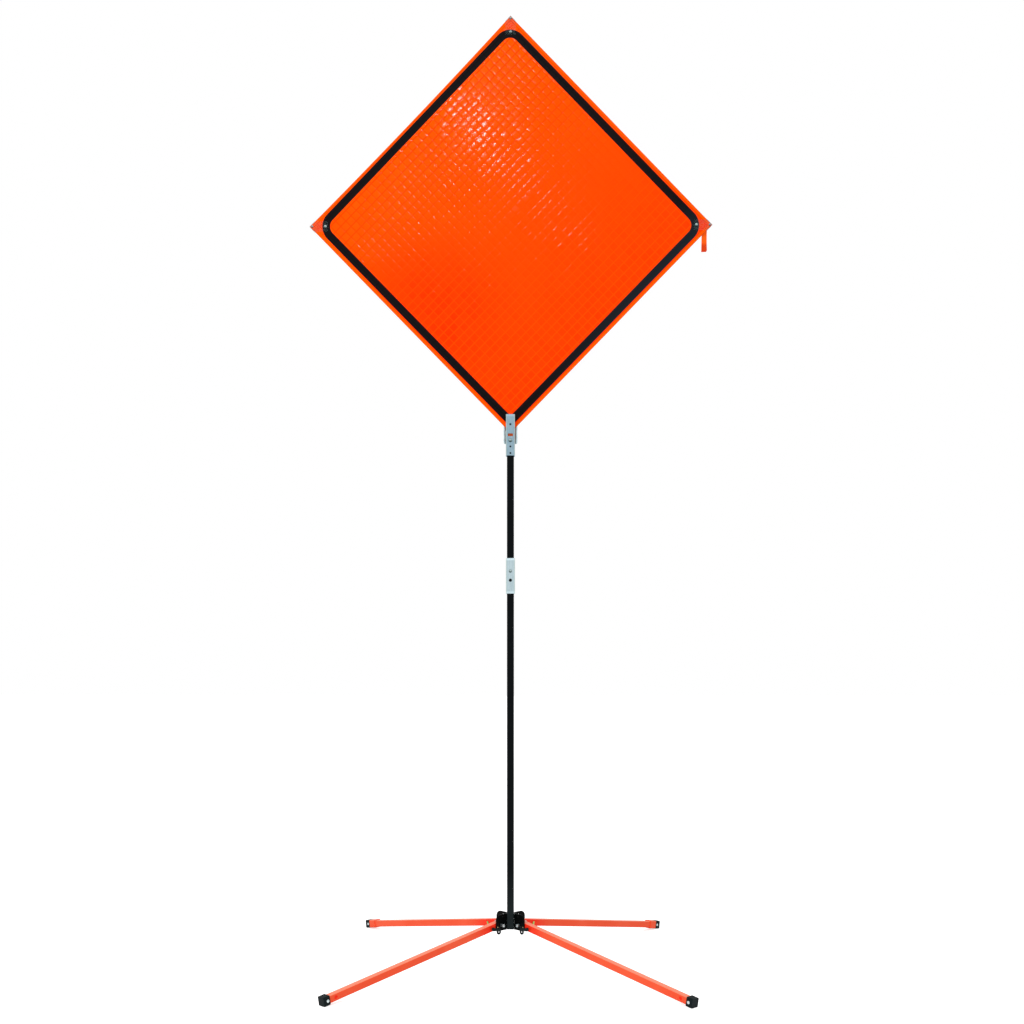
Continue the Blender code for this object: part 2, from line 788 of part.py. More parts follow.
def build_saddle():
    x = saddle_width / 2 - saddle_plate / 2
    base = saddle_outer - saddle_plate / 2
    path = [(-x, saddle_ear_front), (-x, base), (x, base), (x, saddle_ear_front)]
    outline = thick_path(path, saddle_plate)
    mesh = plate_mesh("rib_saddle", outline, [], saddle_base_height, post_top_height)
    saddle = piece("rib_saddle", mesh, finishes["zinc"])
    wide = saddle_width / 2 + overrun
    over_ears = [
        (-wide, saddle_ear_top_height), (wide, saddle_ear_top_height),
        (wide, post_top_height + overrun), (-wide, post_top_height + overrun),
    ]
    cut_slab(saddle, over_ears, saddle_ear_front - overrun, rib_front)
    low = saddle_base_height - overrun
    middle = saddle_width / 2 - saddle_corner_radius
    for way in (-1, 1):
        rim = arc((middle, saddle_ear_base_height + saddle_corner_radius),
                  saddle_corner_radius, -90, 0, 5)
        beside = [(saddle_tab_width / 2, low), (saddle_tab_width / 2, saddle_ear_base_height)]
        beside += rim + [(wide, rim[-1][1]), (wide, low)]
        corner = [(way * x, z) for x, z in beside]
        cut_slab(saddle, corner, saddle_ear_front - overrun, saddle_outer + overrun)
    for height, radius in ((bracket_bolt_height, bracket_bolt_radius), (clamp_height, screw_radius)):
        hole = at(0, base, height) @ along_y
        drill(saddle, radius + fit_gap, hole, 2 * saddle_plate + overrun, sides=round_sides)
    nut = plate_mesh(
        "weld_nut", hexagon(weld_nut_across), [circle((0, 0), screw_radius + fit_gap, round_sides)],
        saddle_outer - fit_gap, saddle_outer + weld_nut_height,
    )
    combine(saddle, helper(nut, at(0, 0, clamp_height) @ along_y, None), "UNION")
    stop = plate_mesh(
        "rib_stop", circle((0, 0), rib_stop_radius, round_sides),
        [circle((0, 0), bracket_bolt_radius + fit_gap)],
        sleeve_side / 2 + fit_gap, saddle_inner - fit_gap,
    )
    piece("rib_stop", stop, finishes["bright_zinc"], at(0, 0, bracket_bolt_height) @ along_y)
    front = sleeve_side / 2 + fit_gap
    back = saddle_outer + fit_gap
    tail = back + bracket_nut_height + overrun
    profile = [
        *upside_down(dome(bracket_bolt_head_radius, bracket_bolt_head_height, front, 3)),
        (bracket_bolt_radius, -front),
        (bracket_bolt_radius, tail),
        (0, tail),
    ]
    bolt_and_nut(
        "bracket_bolt", finishes["bright_zinc"], profile, bracket_nut_across,
        back, bracket_nut_height, at(0, 0, bracket_bolt_height) @ along_y,
    )


def build_clamp():
    axis = frame("clamp_axis", at(0, 0, clamp_height))
    pad_back = pad_front + pad_thickness
    socket = pad_back - pad_socket_depth
    profile = [
        (0, pad_front),
        (pad_radius, pad_front),
        (pad_radius, pad_back),
        (pad_socket_radius, pad_back),
        (pad_socket_radius, socket),
        (0, socket),
    ]
    piece("clamp_pad", turned_mesh("clamp_pad", profile), finishes["rubber"], along_y, axis)
    head_base = saddle_outer + weld_nut_height + screw_clear_length
    head_end = head_base + screw_head_length
    lip = screw_head_radius / 6
    profile = [
        (0, socket + fit_gap),
        (screw_nose_radius, socket + fit_gap),
        (screw_nose_radius, pad_back + fit_gap),
        (screw_radius, pad_back + fit_gap),
        (screw_radius, head_base),
        (screw_head_radius, head_base),
        (screw_head_radius, head_end - lip),
        (screw_head_radius - lip, head_end),
        (0, head_end),
    ]
    screw = piece("clamp_screw", turned_mesh("clamp_screw", profile), finishes["bright_zinc"],
                  along_y, axis)
    middle = at(0, (head_base + head_end) / 2, 0)
    drill(screw, handle_radius + fit_gap, middle, 2 * screw_head_radius + overrun, axis)
    end = handle_length / 2
    tip = dome(handle_radius, handle_radius * 2 / 3, end - handle_radius * 2 / 3, 3)
    mesh = turned_mesh("clamp_handle", [*upside_down(tip), *tip], hole_sides)
    piece("clamp_handle", mesh, finishes["bright_zinc"], middle, axis)


# Sign


def sign_corners():
    """Each pocketed corner's tip frame, with X pointing outward, and how the edges spread."""
    reach_x, reach_z = sheet_half_width, sheet_half_height
    return {
        "top": (at(0, 0, reach_z) @ Matrix.Rotation(radians(-90), 4, "Y"), reach_x / reach_z),
        "left": (at(-reach_x, 0, 0) @ Matrix.Rotation(radians(180), 4, "Y"), reach_z / reach_x),
        "right": (at(reach_x, 0, 0), reach_z / reach_x),
    }


def corner_outline(tip, half, reach, spread):
    """A strip that ends in the sheet's corner: X runs outward and the tip is on it."""
    shoulder = tip - half / spread
    return [(tip, 0), (shoulder, half), (-reach, half), (-reach, -half), (shoulder, -half)]


def sign_rivet(name, matrix, head_radius, front, back, back_head, parent):
    """A rivet with a dome in front, and where it has room a second one behind."""
    profile = upside_down(dome(head_radius, sign_rivet_head_height, -front, 2))
    profile.append((sign_rivet_radius, front))
    if back_head:
        profile.append((sign_rivet_radius, back + fit_gap))
        profile += dome(head_radius, sign_rivet_head_height, back + fit_gap, 2)
    else:
        profile += [(sign_rivet_radius, back), (0, back)]
    mesh = turned_mesh(name, profile, hole_sides)
    return piece(name, mesh, finishes["bright_zinc"], matrix @ along_y, parent)


def rib_tip_half(spread):
    """Half a rib's width at its tip, where it meets the sides of its pocket's corner."""
    return (rib_tip_inset + pocket_inner_tip) * spread - fit_gap / diagonal


def build_sheet(sign):
    corners = [(sheet_half_width, 0), (0, sheet_half_height)]
    corners += [(-x, -z) for x, z in corners]
    places = [(0, low_rivet_height - sign_middle_height)]
    for reach in (tip_rivet_reach, inner_rivet_reach):
        places += [(0, sheet_half_height - reach)]
        places += [(way * (sheet_half_width - reach), 0) for way in (-1, 1)]
    holes = [circle(place, sign_rivet_radius + fit_gap) for place in places]
    mesh = slab_mesh("sign_sheet", corners, holes, sheet_front, sheet_back)
    piece("sign_sheet", mesh, finishes["orange_vinyl"], against_y, sign)


def build_ribs(sign):
    spread = sheet_half_width / sheet_half_height
    tip = sheet_half_height - rib_tip_inset
    low = rib_base_height - sign_middle_height
    half, narrow = rib_width / 2, rib_tip_half(spread)
    shoulder = tip - (half - narrow) / spread
    outline = [
        (-half, low), (half, low), (half, shoulder), (narrow, tip),
        (-narrow, tip), (-half, shoulder),
    ]
    places = [low_rivet_height - sign_middle_height]
    places += [sheet_half_height - reach for reach in (tip_rivet_reach, inner_rivet_reach)]
    holes = [circle((0, z), sign_rivet_radius + fit_gap) for z in places]
    holes.append(circle((0, 0), rib_bolt_radius + fit_gap))
    mesh = slab_mesh("upright_rib", outline, holes, rib_front, rib_back)
    upright = piece("upright_rib", mesh, finishes["glass_fibre"], against_y, sign)
    mouth = rib_bolt_head_radius + fit_gap
    sink = turned_mesh("sink", [
        (0, rib_front - overrun), (mouth, rib_front - overrun), (mouth, rib_front + fit_gap),
        (rib_bolt_radius + fit_gap, rib_front + rib_bolt_head_height + fit_gap),
        (0, rib_front + rib_bolt_head_height + fit_gap),
    ])
    combine(upright, helper(sink, along_y, sign), "DIFFERENCE")
    build_cross_rib(sign)
    back = rib_front + cross_rib_bow + cross_rib_thickness + fit_gap
    tail = back + rib_nut_height + overrun
    profile = [
        (0, rib_front + fit_gap), (rib_bolt_head_radius, rib_front + fit_gap),
        (rib_bolt_radius, rib_front + rib_bolt_head_height),
        (rib_bolt_radius, tail), (0, tail),
    ]
    bolt = piece("rib_bolt", turned_mesh("rib_bolt", profile), finishes["bright_zinc"],
                 along_y, sign)
    nut = plate_mesh("rib_nut", hexagon(rib_nut_across), [], back, back + rib_nut_height)
    combine(bolt, helper(nut, along_y, sign), "UNION")


def build_cross_rib(sign):
    """A strip that lies flat in both pockets and bows back behind the upright rib."""
    tip = sheet_half_width - rib_tip_inset
    spread = sheet_half_height / sheet_half_width
    half, narrow = cross_rib_width / 2, rib_tip_half(spread)
    flat = sheet_half_width - pocket_reach - overrun
    shoulder = tip - (half - narrow) / spread
    inner = [shoulder * (2 * i / cross_rib_steps - 1) for i in range(cross_rib_steps + 1)]
    sections = [(-tip, narrow), *[(x, half) for x in inner], (tip, narrow)]
    points = []
    for x, z in sections:
        y = rib_front + cross_rib_bow * (1 - min(1, abs(x) / flat) ** 2)
        back = y + cross_rib_thickness
        points += [(x, y, -z), (x, back, -z), (x, back, z), (x, y, z)]
    faces = [(0, 1, 2, 3), tuple(range(len(points) - 4, len(points)))]
    for i in range(len(sections) - 1):
        for j in range(4):
            k = (j + 1) % 4
            faces.append((4 * i + j, 4 * i + k, 4 * i + 4 + k, 4 * i + 4 + j))
    mesh = solid_mesh("cross_rib", points, faces)
    rib = piece("cross_rib", mesh, finishes["glass_fibre"], along_z, sign)
    depth = 4 * cross_rib_thickness
    middle = rib_front + cross_rib_thickness
    drill(rib, rib_bolt_radius + fit_gap, at(0, middle, 0) @ along_y, depth, sign)
    for reach in (tip_rivet_reach, inner_rivet_reach):
        for way in (-1, 1):
            hole = at(way * (sheet_half_width - reach), middle, 0) @ along_y
            drill(rib, sign_rivet_radius + fit_gap, hole, depth, sign)


def build_pockets(sign):
    for name, (matrix, spread) in sign_corners().items():
        corner = frame("sign_corner_" + name, matrix, sign)
        outer = corner_outline(pocket_tip, pocket_half_width, pocket_reach, spread)
        inner = corner_outline(
            pocket_inner_tip, pocket_half_width + overrun, pocket_reach + overrun, spread
        )
        label = "corner_pocket_" + name
        mesh = slab_mesh(label, outer, [], pocket_front, pocket_back)
        pocket = piece(label, mesh, finishes["clear_plastic"], against_y, corner)
        cut_slab(pocket, inner, pocket_front + pocket_leaf, pocket_back - pocket_leaf, corner)
        rivets = (
            ("tip", tip_rivet_reach, tip_rivet_head_radius),
            ("inner", inner_rivet_reach, inner_rivet_head_radius),
        )
        for kind, reach, head in rivets:
            place = at(-reach, 0, 0)
            middle = (pocket_front + pocket_back) / 2
            hole = at(-reach, middle, 0) @ along_y
            drill(pocket, sign_rivet_radius + fit_gap, hole,
                  pocket_back - pocket_front + overrun, corner)
            front = pocket_front - fit_gap
            sign_rivet(f"{name}_{kind}_rivet", place, head, front, pocket_back, True, corner)
    place = at(0, 0, low_rivet_height - sign_middle_height)
    front = sheet_front - fit_gap
    sign_rivet("bottom_rivet", place, inner_rivet_head_radius, front, rib_back, False, sign)


def build_strap(sign):
    """A doubled strap that hangs behind the right corner, with a lazy curl."""
    x = sheet_half_width - strap_from_tip
    y = pocket_back + fit_gap + strap_thickness / 2
    points = []
    for i in range(strap_steps + 1):
        share = i / strap_steps
        free = max(0.0, share - pocket_half_width / strap_length)
        turn = radians(strap_curl_degrees) * sin(pi * free)
        middle = Vector((x, y + strap_sway * (1 - cos(2 * pi * free)),
                         strap_top_rise - share * strap_length))
        across = Vector((cos(turn), sin(turn), 0)) * strap_width / 2
        out = Vector((-sin(turn), cos(turn), 0)) * strap_thickness / 2
        points += [middle - across - out, middle + across - out,
                   middle + across + out, middle - across + out]
    faces = [(0, 1, 2, 3), tuple(range(len(points) - 4, len(points)))]
    for i in range(strap_steps):
        for j in range(4):
            k = (j + 1) % 4
            faces.append((4 * i + j, 4 * i + k, 4 * i + 4 + k, 4 * i + 4 + j))
    mesh = solid_mesh("tie_strap", [tuple(p) for p in points], faces)
    piece("tie_strap", mesh, finishes["orange_web"], along_z, sign)


clear_scene()
finishes = {
    "black_coat": finish("black_coat", (0.012, 0.014, 0.016), 0.45),
    "orange_coat": finish("orange_coat", (0.90, 0.10, 0.03), 0.40),
    "zinc": finish("zinc", (0.48, 0.58, 0.64), 0.35, 0.8),
    "bright_zinc": finish("bright_zinc", (0.70, 0.72, 0.72), 0.28, 0.9),
    "yellow_zinc": finish("yellow_zinc", (0.45, 0.50, 0.20), 0.35, 0.8),
    "brass": finish("brass", (0.60, 0.45, 0.20), 0.35, 0.9),
    "rubber": finish("rubber", (0.015, 0.016, 0.017), 0.75),
    "orange_vinyl": finish("orange_vinyl", (1.0, 0.09, 0.0), 0.30),
    "glass_fibre": finish("glass_fibre", (0.85, 0.14, 0.03), 0.45),
    "clear_plastic": finish("clear_plastic", (0.80, 0.82, 0.85), 0.15, 0.0, 0.35),
    "orange_web": finish("orange_web", (0.90, 0.12, 0.02), 0.80),
    "guide": finish("guide", (0.5, 0.5, 0.5), 0.5),
}
floor_block = plate_mesh("floor", rounded_box(floor_side, floor_side, leg_side), [], -cap_side, 0)
helper(floor_block, along_z, None)
build_mast()
build_coupler()
build_hub()
for corner_name, ways in leg_corners.items():
    build_leg(corner_name, *ways)
build_post()
build_saddle()
build_clamp()
sign_frame = frame("sign_frame", at(0, 0, sign_middle_height))
build_sheet(sign_frame)
build_ribs(sign_frame)
build_pockets(sign_frame)
build_strap(sign_frame)
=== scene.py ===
import json
import random
from math import cos, pi, radians, sin, tan

import bmesh
import bpy
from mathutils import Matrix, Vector
from mathutils.kdtree import KDTree


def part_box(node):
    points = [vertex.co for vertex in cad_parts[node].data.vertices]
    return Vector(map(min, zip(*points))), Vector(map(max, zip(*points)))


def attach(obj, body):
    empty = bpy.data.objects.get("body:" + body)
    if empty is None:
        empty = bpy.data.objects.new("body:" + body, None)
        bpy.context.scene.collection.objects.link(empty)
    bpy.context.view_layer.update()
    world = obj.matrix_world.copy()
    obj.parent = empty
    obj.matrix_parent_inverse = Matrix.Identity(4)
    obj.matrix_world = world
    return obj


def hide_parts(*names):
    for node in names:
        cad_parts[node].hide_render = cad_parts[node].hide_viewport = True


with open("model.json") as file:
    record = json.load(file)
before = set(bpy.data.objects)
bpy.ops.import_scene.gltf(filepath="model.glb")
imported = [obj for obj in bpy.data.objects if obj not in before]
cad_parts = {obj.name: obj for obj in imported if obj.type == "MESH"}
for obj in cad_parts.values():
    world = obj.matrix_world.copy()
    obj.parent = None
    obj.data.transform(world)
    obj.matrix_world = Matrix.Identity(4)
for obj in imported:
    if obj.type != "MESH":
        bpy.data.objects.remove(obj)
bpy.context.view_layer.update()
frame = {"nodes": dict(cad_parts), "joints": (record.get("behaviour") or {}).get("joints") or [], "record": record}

# Camera, as a real lens on the picture's own width
camera_place = (0.05725, -3.8199, 0.97044)
camera_turn = (radians(88), 0.0, 0.0137)
camera_lens = 41.888
camera_film = 36.0
camera_shift = 0.18687

# Lights: a broad soft one for the level, and a small one that glints in the sheet's cells
softbox_size = (1.6, 1.2)
softbox_place = (-2.5, -3.4, 4.1)
softbox_power = 74.0
glint_size = (0.22, 0.18)
glint_place = (-0.30, -3.82, 4.38)
glint_power = 38.0
light_aim = (0.0, 0.0, 2.0)
fill_strength = 0.74
floor_size = 60.0
floor_drop = 0.0002
floor_glow = 0.62

# Copies of the solids: how flat faces are joined, arcs refined and edges broken
weld_distance = 0.00002
flat_angle = radians(0.5)
flat_cosine = 0.9995
arc_chord = 0.0080
arc_turns = (radians(3), radians(50))
straight_ratio = 2.2
least_bend = 0.000001
ring_tolerance = 0.00001
ring_least_radius = 0.0003
ring_turns = (radians(4), radians(40))
edge_angle = radians(30)
smooth_angle = radians(50)
tube_edge = 0.00035
plate_edge = 0.00045
small_edge = 0.00025
thin_edge = small_edge / 2
rubber_edge = 0.0009

# Surfaces: how deep their fine relief is, and how far wear, dust, painted floor light and painted shade reach
peel_depth = 0.00012
drawn_depth = 0.00006
grain_depth = 0.00012
roving_depth = 0.00010
web_depth = 0.0003
weave_depth = 0.0002
worn_reach = 0.0007
rubber_worn_reach = 0.0012
floor_light_heights = (0.12, 0.34)
hub_shade_reaches = (0.07, 0.17)

# Sleeve tubes: lighter bands at the ends, and a painted highlight along the corners
end_band = 0.0075
end_band_blur = 0.0015
corner_highlight = 0.0036

# Leg dimples: how far they lie from the cap's middle, and their rims, with painted shade inside, from the leg's
# axis
dimple_from_cap = 0.0330
dimple_reach = 0.0124
dimple_blur = 0.0006

# Sign sheet: its cells, waves and crease
sheet_side = 0.9144
sheet_cells = 39
cell_shares = (0.0, 0.06, 0.22, 0.50, 0.78, 0.94)
groove_depth = 0.00012
cell_crown_along = 0.00006
cell_crown_across = 0.00026
cell_tilt_along = 0.00011
cell_tilt_across = 0.00015
cell_spread_share = 0.4
cell_seed = 31
face_inset = 0.0004
edge_bow = 0.0045
edge_bow_power = 6
quilt_wave = 0.0012
quilt_gain = 16
quilt_shares = (0.6, 0.4)
quilt_turns = (9.0, 7.0)
quilt_start = 2.0
crease_offset = -0.015
crease_ends = (-0.154, 0.247)
crease_fade = 0.06
crease_half_width = 0.010
crease_height = 0.0006

# Sign sheet: the lines between its cells, as shares of a cell
line_shares = (0.062, 0.075)
line_weights = (0.8, 1.0)
line_blur_shares = (0.4, 1.6)

# Sign sheet: its printed border, and from the sheet's edge its hem and seam on both sides, with painted shade on
# the hem's fold and a painted shadow at the edge
border_margins = (0.01375, 0.01275)
border_shift = 0.0010
border_width = 0.0250
border_corner_radius = 0.054
border_low_radius = 0.004
border_low_shares = (-0.72, -0.70)
ink_blur = 0.0003
ink_ragged = 0.0004
sheet_corner_radius = 0.002
hem_width = 0.0095
hem_blur = 0.0006
hem_fold_shade = (-0.0040, -0.0005)
hem_shadow = (-0.0018, -0.0006)
seam_reaches = (0.0004, 0.0012)
back_hem_width = 0.0152
back_hem_blur = 0.0004
back_seam = 0.0110
back_seam_reaches = (0.0004, 0.0010)
back_weave_pitch = 0.0016

# Sign sheet: where its orange has painted light and where it is deeper, and where the ink has a painted reflection
# of the sky
painted_light_way = (-0.35, 0.0, 0.44)
painted_light_reach = 0.42
deep_offset = (-0.26, 0.0, -0.28)
deep_reaches = (0.05, 0.34)
upper_reach = 0.06
sky_fall_reaches = (0.45, 0.62)
sky_right_reaches = (0.04, 0.40)

# Tie strap
strap_width = 0.0160
strap_ply = 0.0010
strap_gap = 0.0004
strap_wave = 0.0012
strap_splay = 0.0009
strap_twist = radians(9)
strap_rear_twist = radians(6)
strap_steps = 28
strap_held_share = 0.2
strap_fold_share = 0.06
strap_front_share = 0.96
# Where the strap has painted shade, as shares of its length: at its fold, and lower down
strap_fold_shade_shares = (0.20, 0.32)
strap_shade_shares = (0.62, 0.80)
strap_outline_shares = ((-1, -0.4), (-0.94, -1), (0.94, -1), (1, -0.4),
                        (1, 0.4), (0.94, 1), (-0.94, 1), (-1, 0.4))


# Node trees


class Nodes:
    """A node tree, with short calls for the nodes that the finishes and the world share."""

    def __init__(self, tree):
        self.tree = tree

    def node(self, kind, **settings):
        made = self.tree.nodes.new("ShaderNode" + kind)
        for key, value in settings.items():
            setattr(made, key, value)
        return made

    def feed(self, socket, value):
        """Links the socket to another node's output, or sets it to a plain value."""
        if isinstance(value, bpy.types.NodeSocket):
            self.tree.links.new(value, socket)
        elif socket.type == "RGBA" and len(value) == 3:
            socket.default_value = (*value, 1.0)
        else:
            socket.default_value = value

    def sum(self, operation, a, b=0.0):
        made = self.node("Math", operation=operation)
        self.feed(made.inputs[0], a)
        self.feed(made.inputs[1], b)
        return made.outputs[0]

    def seen(self):
        """1 for what the lens sees straight, mirrored or through clear plastic, 0 for light."""
        path = self.node("LightPath")
        either = self.sum("MAXIMUM", path.outputs["Is Glossy Ray"],
                          path.outputs["Is Transmission Ray"])
        return self.sum("MAXIMUM", path.outputs["Is Camera Ray"], either)


class Finish(Nodes):
    """A material's node tree, with short calls for textures and masks."""

    def __init__(self, name):
        self.material = bpy.data.materials.new(name)
        self.material.use_nodes = True
        super().__init__(self.material.node_tree)
        self.surface = self.tree.nodes["Principled BSDF"]
        self.place = self.node("TexCoord").outputs["Object"]

    def set(self, **inputs):
        """Feeds the surface's inputs, each named with underscores for its spaces."""
        for key, value in inputs.items():
            self.feed(self.surface.inputs[key.replace("_", " ")], value)

    def stretched(self, x, y, z):
        """The point's place, scaled along each axis."""
        scaled = self.node("VectorMath", operation="MULTIPLY")
        self.feed(scaled.inputs[0], self.place)
        scaled.inputs[1].default_value = (x, y, z)
        return scaled.outputs[0]

    def noise(self, scale, detail=2.0, roughness=0.5, place=None):
        made = self.node("TexNoise")
        self.feed(made.inputs["Vector"], place or self.place)
        made.inputs["Scale"].default_value = scale
        made.inputs["Detail"].default_value = detail
        made.inputs["Roughness"].default_value = roughness
        return made.outputs["Fac"]

    def span(self, value, low, high, to_low=0.0, to_high=1.0):
        """Goes smoothly from one value to another as the given value rises from low to high."""
        made = self.node("MapRange", interpolation_type="SMOOTHSTEP")
        self.feed(made.inputs["Value"], value)
        for socket, number in zip(made.inputs[1:5], (low, high, to_low, to_high)):
            socket.default_value = number
        return made.outputs["Result"]

    def band(self, value, middle, inner, outer):
        """1 within the inner reach of the middle, and 0 past the outer one."""
        return self.sum("MULTIPLY", self.span(value, middle - outer, middle - inner),
                        self.span(value, middle + inner, middle + outer, 1.0, 0.0))

    def mix(self, share, a, b):
        made = self.node("Mix", data_type="RGBA")
        self.feed(made.inputs["Factor"], share)
        self.feed(made.inputs[6], a)
        self.feed(made.inputs[7], b)
        return made.outputs[2]

    def bump(self, height, distance, strength):
        made = self.node("Bump")
        made.inputs["Strength"].default_value = strength
        made.inputs["Distance"].default_value = distance
        self.feed(made.inputs["Height"], height)
        return made.outputs["Normal"]

    def dot(self, middle, way):
        """How far a point lies from the middle along a way, times the way's own length."""
        off = self.node("VectorMath", operation="SUBTRACT")
        self.feed(off.inputs[0], self.place)
        off.inputs[1].default_value = middle
        made = self.node("VectorMath", operation="DOT_PRODUCT")
        self.feed(made.inputs[0], off.outputs[0])
        made.inputs[1].default_value = way
        return made.outputs["Value"]

    def height(self, base):
        """How far a point lies above the base."""
        return self.dot((0.0, 0.0, base), (0.0, 0.0, 1.0))

    def distance(self, point):
        """How far any place on the surface lies from the point."""
        made = self.node("VectorMath", operation="DISTANCE")
        self.feed(made.inputs[0], self.place)
        made.inputs[1].default_value = point
        return made.outputs["Value"]

    def facing_up(self):
        """The upward share of the surface's direction: 1 on top, 0 on a side, -1 below."""
        made = self.node("SeparateXYZ")
        self.feed(made.inputs[0], self.node("NewGeometry").outputs["Normal"])
        return made.outputs[2]

    def worn_edges(self, reach=worn_reach):
        """1 at edges and 0 past the reach, broken up by a fine noise."""
        soft = self.node("Bevel", samples=4)
        soft.inputs["Radius"].default_value = reach
        turn = self.node("VectorMath", operation="DOT_PRODUCT")
        self.feed(turn.inputs[0], soft.outputs["Normal"])
        self.feed(turn.inputs[1], self.node("NewGeometry").outputs["True Normal"])
        patches = self.span(self.noise(160.0, 4.0), 0.42, 0.62)
        return self.sum("MULTIPLY", self.span(turn.outputs["Value"], 0.80, 0.99, 1.0, 0.0), patches)


def powder_coat(name, base, darker, lighter, under_coat, level, floor_light_share=0.0, painted_shade=None,
                upward=None, dimples=()):
    """Baked powder coat: fine orange peel, an uneven film, rubbed edges and a few scuffs.
    The mast's coat is painted lighter low down, as light from the floor. The legs' coat has painted shade by the
    hub and in their dimples, and a painted highlight on top."""
    made = Finish(name)
    film = made.span(made.noise(9.0, 3.0), 0.35, 0.68)
    colour = made.mix(film, darker, base)
    dust = made.span(made.noise(70.0, 5.0, 0.7), 0.56, 0.78, 0.0, 0.35)
    # Painted light: the mast is lighter low down, as lit from the floor; this joins the dust share.
    if floor_light_share:
        dust = made.sum("MAXIMUM", dust, made.span(made.height(0.0), *floor_light_heights, floor_light_share, 0.0))
    colour = made.mix(dust, colour, lighter)
    # Painted shade: the legs turn deeper red by the hub.
    if painted_shade:
        out = made.node("VectorMath", operation="LENGTH")
        made.feed(out.inputs[0], made.stretched(1.0, 1.0, 0.0))
        hub_shade = made.span(out.outputs["Value"], *hub_shade_reaches, 0.9, 0.0)
        colour = made.mix(hub_shade, colour, painted_shade)
    # Painted highlight: faces that look up are lighter, as lit from above.
    if upward:
        colour = made.mix(made.span(made.facing_up(), 0.25, 0.70, 0.0, 0.8), colour, upward)
    # Painted shade in the dimples on the legs' sides.
    for dimple in dimples:
        dimple_shade = made.span(made.distance(dimple), dimple_reach - dimple_blur, dimple_reach, 0.9, 0.0)
        side = made.span(made.sum("ABSOLUTE", made.facing_up()), 0.3, 0.6, 1.0, 0.0)
        colour = made.mix(made.sum("MULTIPLY", dimple_shade, side), colour, painted_shade)
    scuffs = made.noise(30.0, 6.0, 0.75, made.stretched(1.0, 1.0, 5.0))
    scuffs = made.span(scuffs, 0.68, 0.73, 0.0, 0.5)
    bare = made.sum("MAXIMUM", made.sum("MULTIPLY", made.worn_edges(), 0.45), scuffs)
    colour = made.mix(bare, colour, under_coat)
    peel = made.sum("ADD", made.sum("MULTIPLY", made.noise(620.0), 0.5), made.noise(140.0, 1.0))
    made.set(Base_Color=colour, Roughness=made.span(film, 0.0, 1.0, 0.44, 0.34),
             Normal=made.bump(peel, peel_depth, 0.6), Specular_IOR_Level=level)
    return made.material


def plated(name, base, bloom, roughness, shade_below=0.0, sleeve=None, top_band=0.0, low_band=0.0):
    """Zinc plate or brass: drawn streaks upward, a cloudy bloom and a few dull rub marks.
    Small heads get painted shade where they face down, and a sleeve tube, given by its node,
    gets a painted highlight along its corners and lighter bands at its ends."""
    made = Finish(name)
    cloud = made.span(made.noise(46.0, 4.0, 0.6), 0.35, 0.7)
    streak = made.noise(420.0, 3.0, 0.6, made.stretched(1.0, 1.0, 0.04))
    drawn = made.span(streak, 0.3, 0.7, 0.0, 0.25)
    colour = made.mix(cloud, base, bloom)
    colour = made.mix(drawn, colour, tuple(0.70 * part for part in base))
    rubs = made.span(made.noise(90.0, 6.0, 0.8), 0.60, 0.72, 0.0, 0.5)
    colour = made.mix(rubs, colour, tuple(0.82 * part for part in bloom))
    # Painted shade: small heads are darker where they face down, standing in for the dark floor's reflection.
    if shade_below:
        under = made.span(made.facing_up(), -0.50, 0.20, shade_below, 0.0)
        colour = made.mix(under, colour, (0.03, 0.05, 0.05))
    if sleeve:
        low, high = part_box(sleeve)
        pale = tuple(1.30 * part for part in bloom)
        # Lighter bands at both ends of the sleeve.
        for end, way, weight in ((low.z, 1.0, low_band), (high.z, -1.0, top_band)):
            inward = made.dot((0.0, 0.0, end), (0.0, 0.0, way))
            band = made.span(inward, end_band - end_band_blur, end_band, weight, 0.0)
            colour = made.mix(band, colour, pale)
        # Painted highlight: the corners turn pale, as the reflection of their rounding.
        across = [made.sum("ABSOLUTE", made.dot((0.0, 0.0, 0.0), way))
                  for way in ((1.0, 0.0, 0.0), (0.0, 1.0, 0.0))]
        strip = made.span(made.sum("MINIMUM", *across), high.x - corner_highlight,
                          high.x - corner_highlight / 2, 0.0, 0.45)
        colour = made.mix(strip, colour, (0.60, 0.69, 0.61))
    rough = made.sum("ADD", made.span(cloud, 0.0, 1.0, roughness - 0.05, roughness + 0.08), drawn)
    made.set(Base_Color=colour, Metallic=1.0, Roughness=rough,
             Normal=made.bump(streak, drawn_depth, 0.35))
    return made.material


def moulded_rubber():
    """Black moulded rubber with patches of dust, finely grained, worn grey along its edges."""
    made = Finish("rubber")
    dust = made.span(made.noise(60.0, 5.0, 0.7), 0.45, 0.75)
    colour = made.mix(dust, (0.0045, 0.0095, 0.0105), (0.0080, 0.0140, 0.0150))
    colour = made.mix(made.worn_edges(rubber_worn_reach), colour, (0.026, 0.038, 0.040))
    grain = made.sum("ADD", made.noise(900.0, 3.0), made.noise(180.0, 2.0))
    made.set(Base_Color=colour, Roughness=made.span(dust, 0.0, 1.0, 0.55, 0.75),
             Normal=made.bump(grain, grain_depth, 0.5), Specular_IOR_Level=0.07)
    return made.material


def clear_sheet_plastic():
    """Clear pocket plastic with a faint haze and fine scratches."""
    made = Finish("clear_plastic")
    haze = made.span(made.noise(45.0, 4.0), 0.3, 0.75, 0.085, 0.115)
    scratch = made.noise(260.0, 5.0, 0.8, made.stretched(1.0, 1.0, 0.15))
    colour = made.mix(made.span(scratch, 0.4, 0.7), (0.080, 0.125, 0.130), (0.100, 0.150, 0.155))
    made.set(Base_Color=colour, Alpha=haze, Roughness=made.span(scratch, 0.3, 0.8, 0.50, 0.62),
             Specular_IOR_Level=0.02)
    return made.material


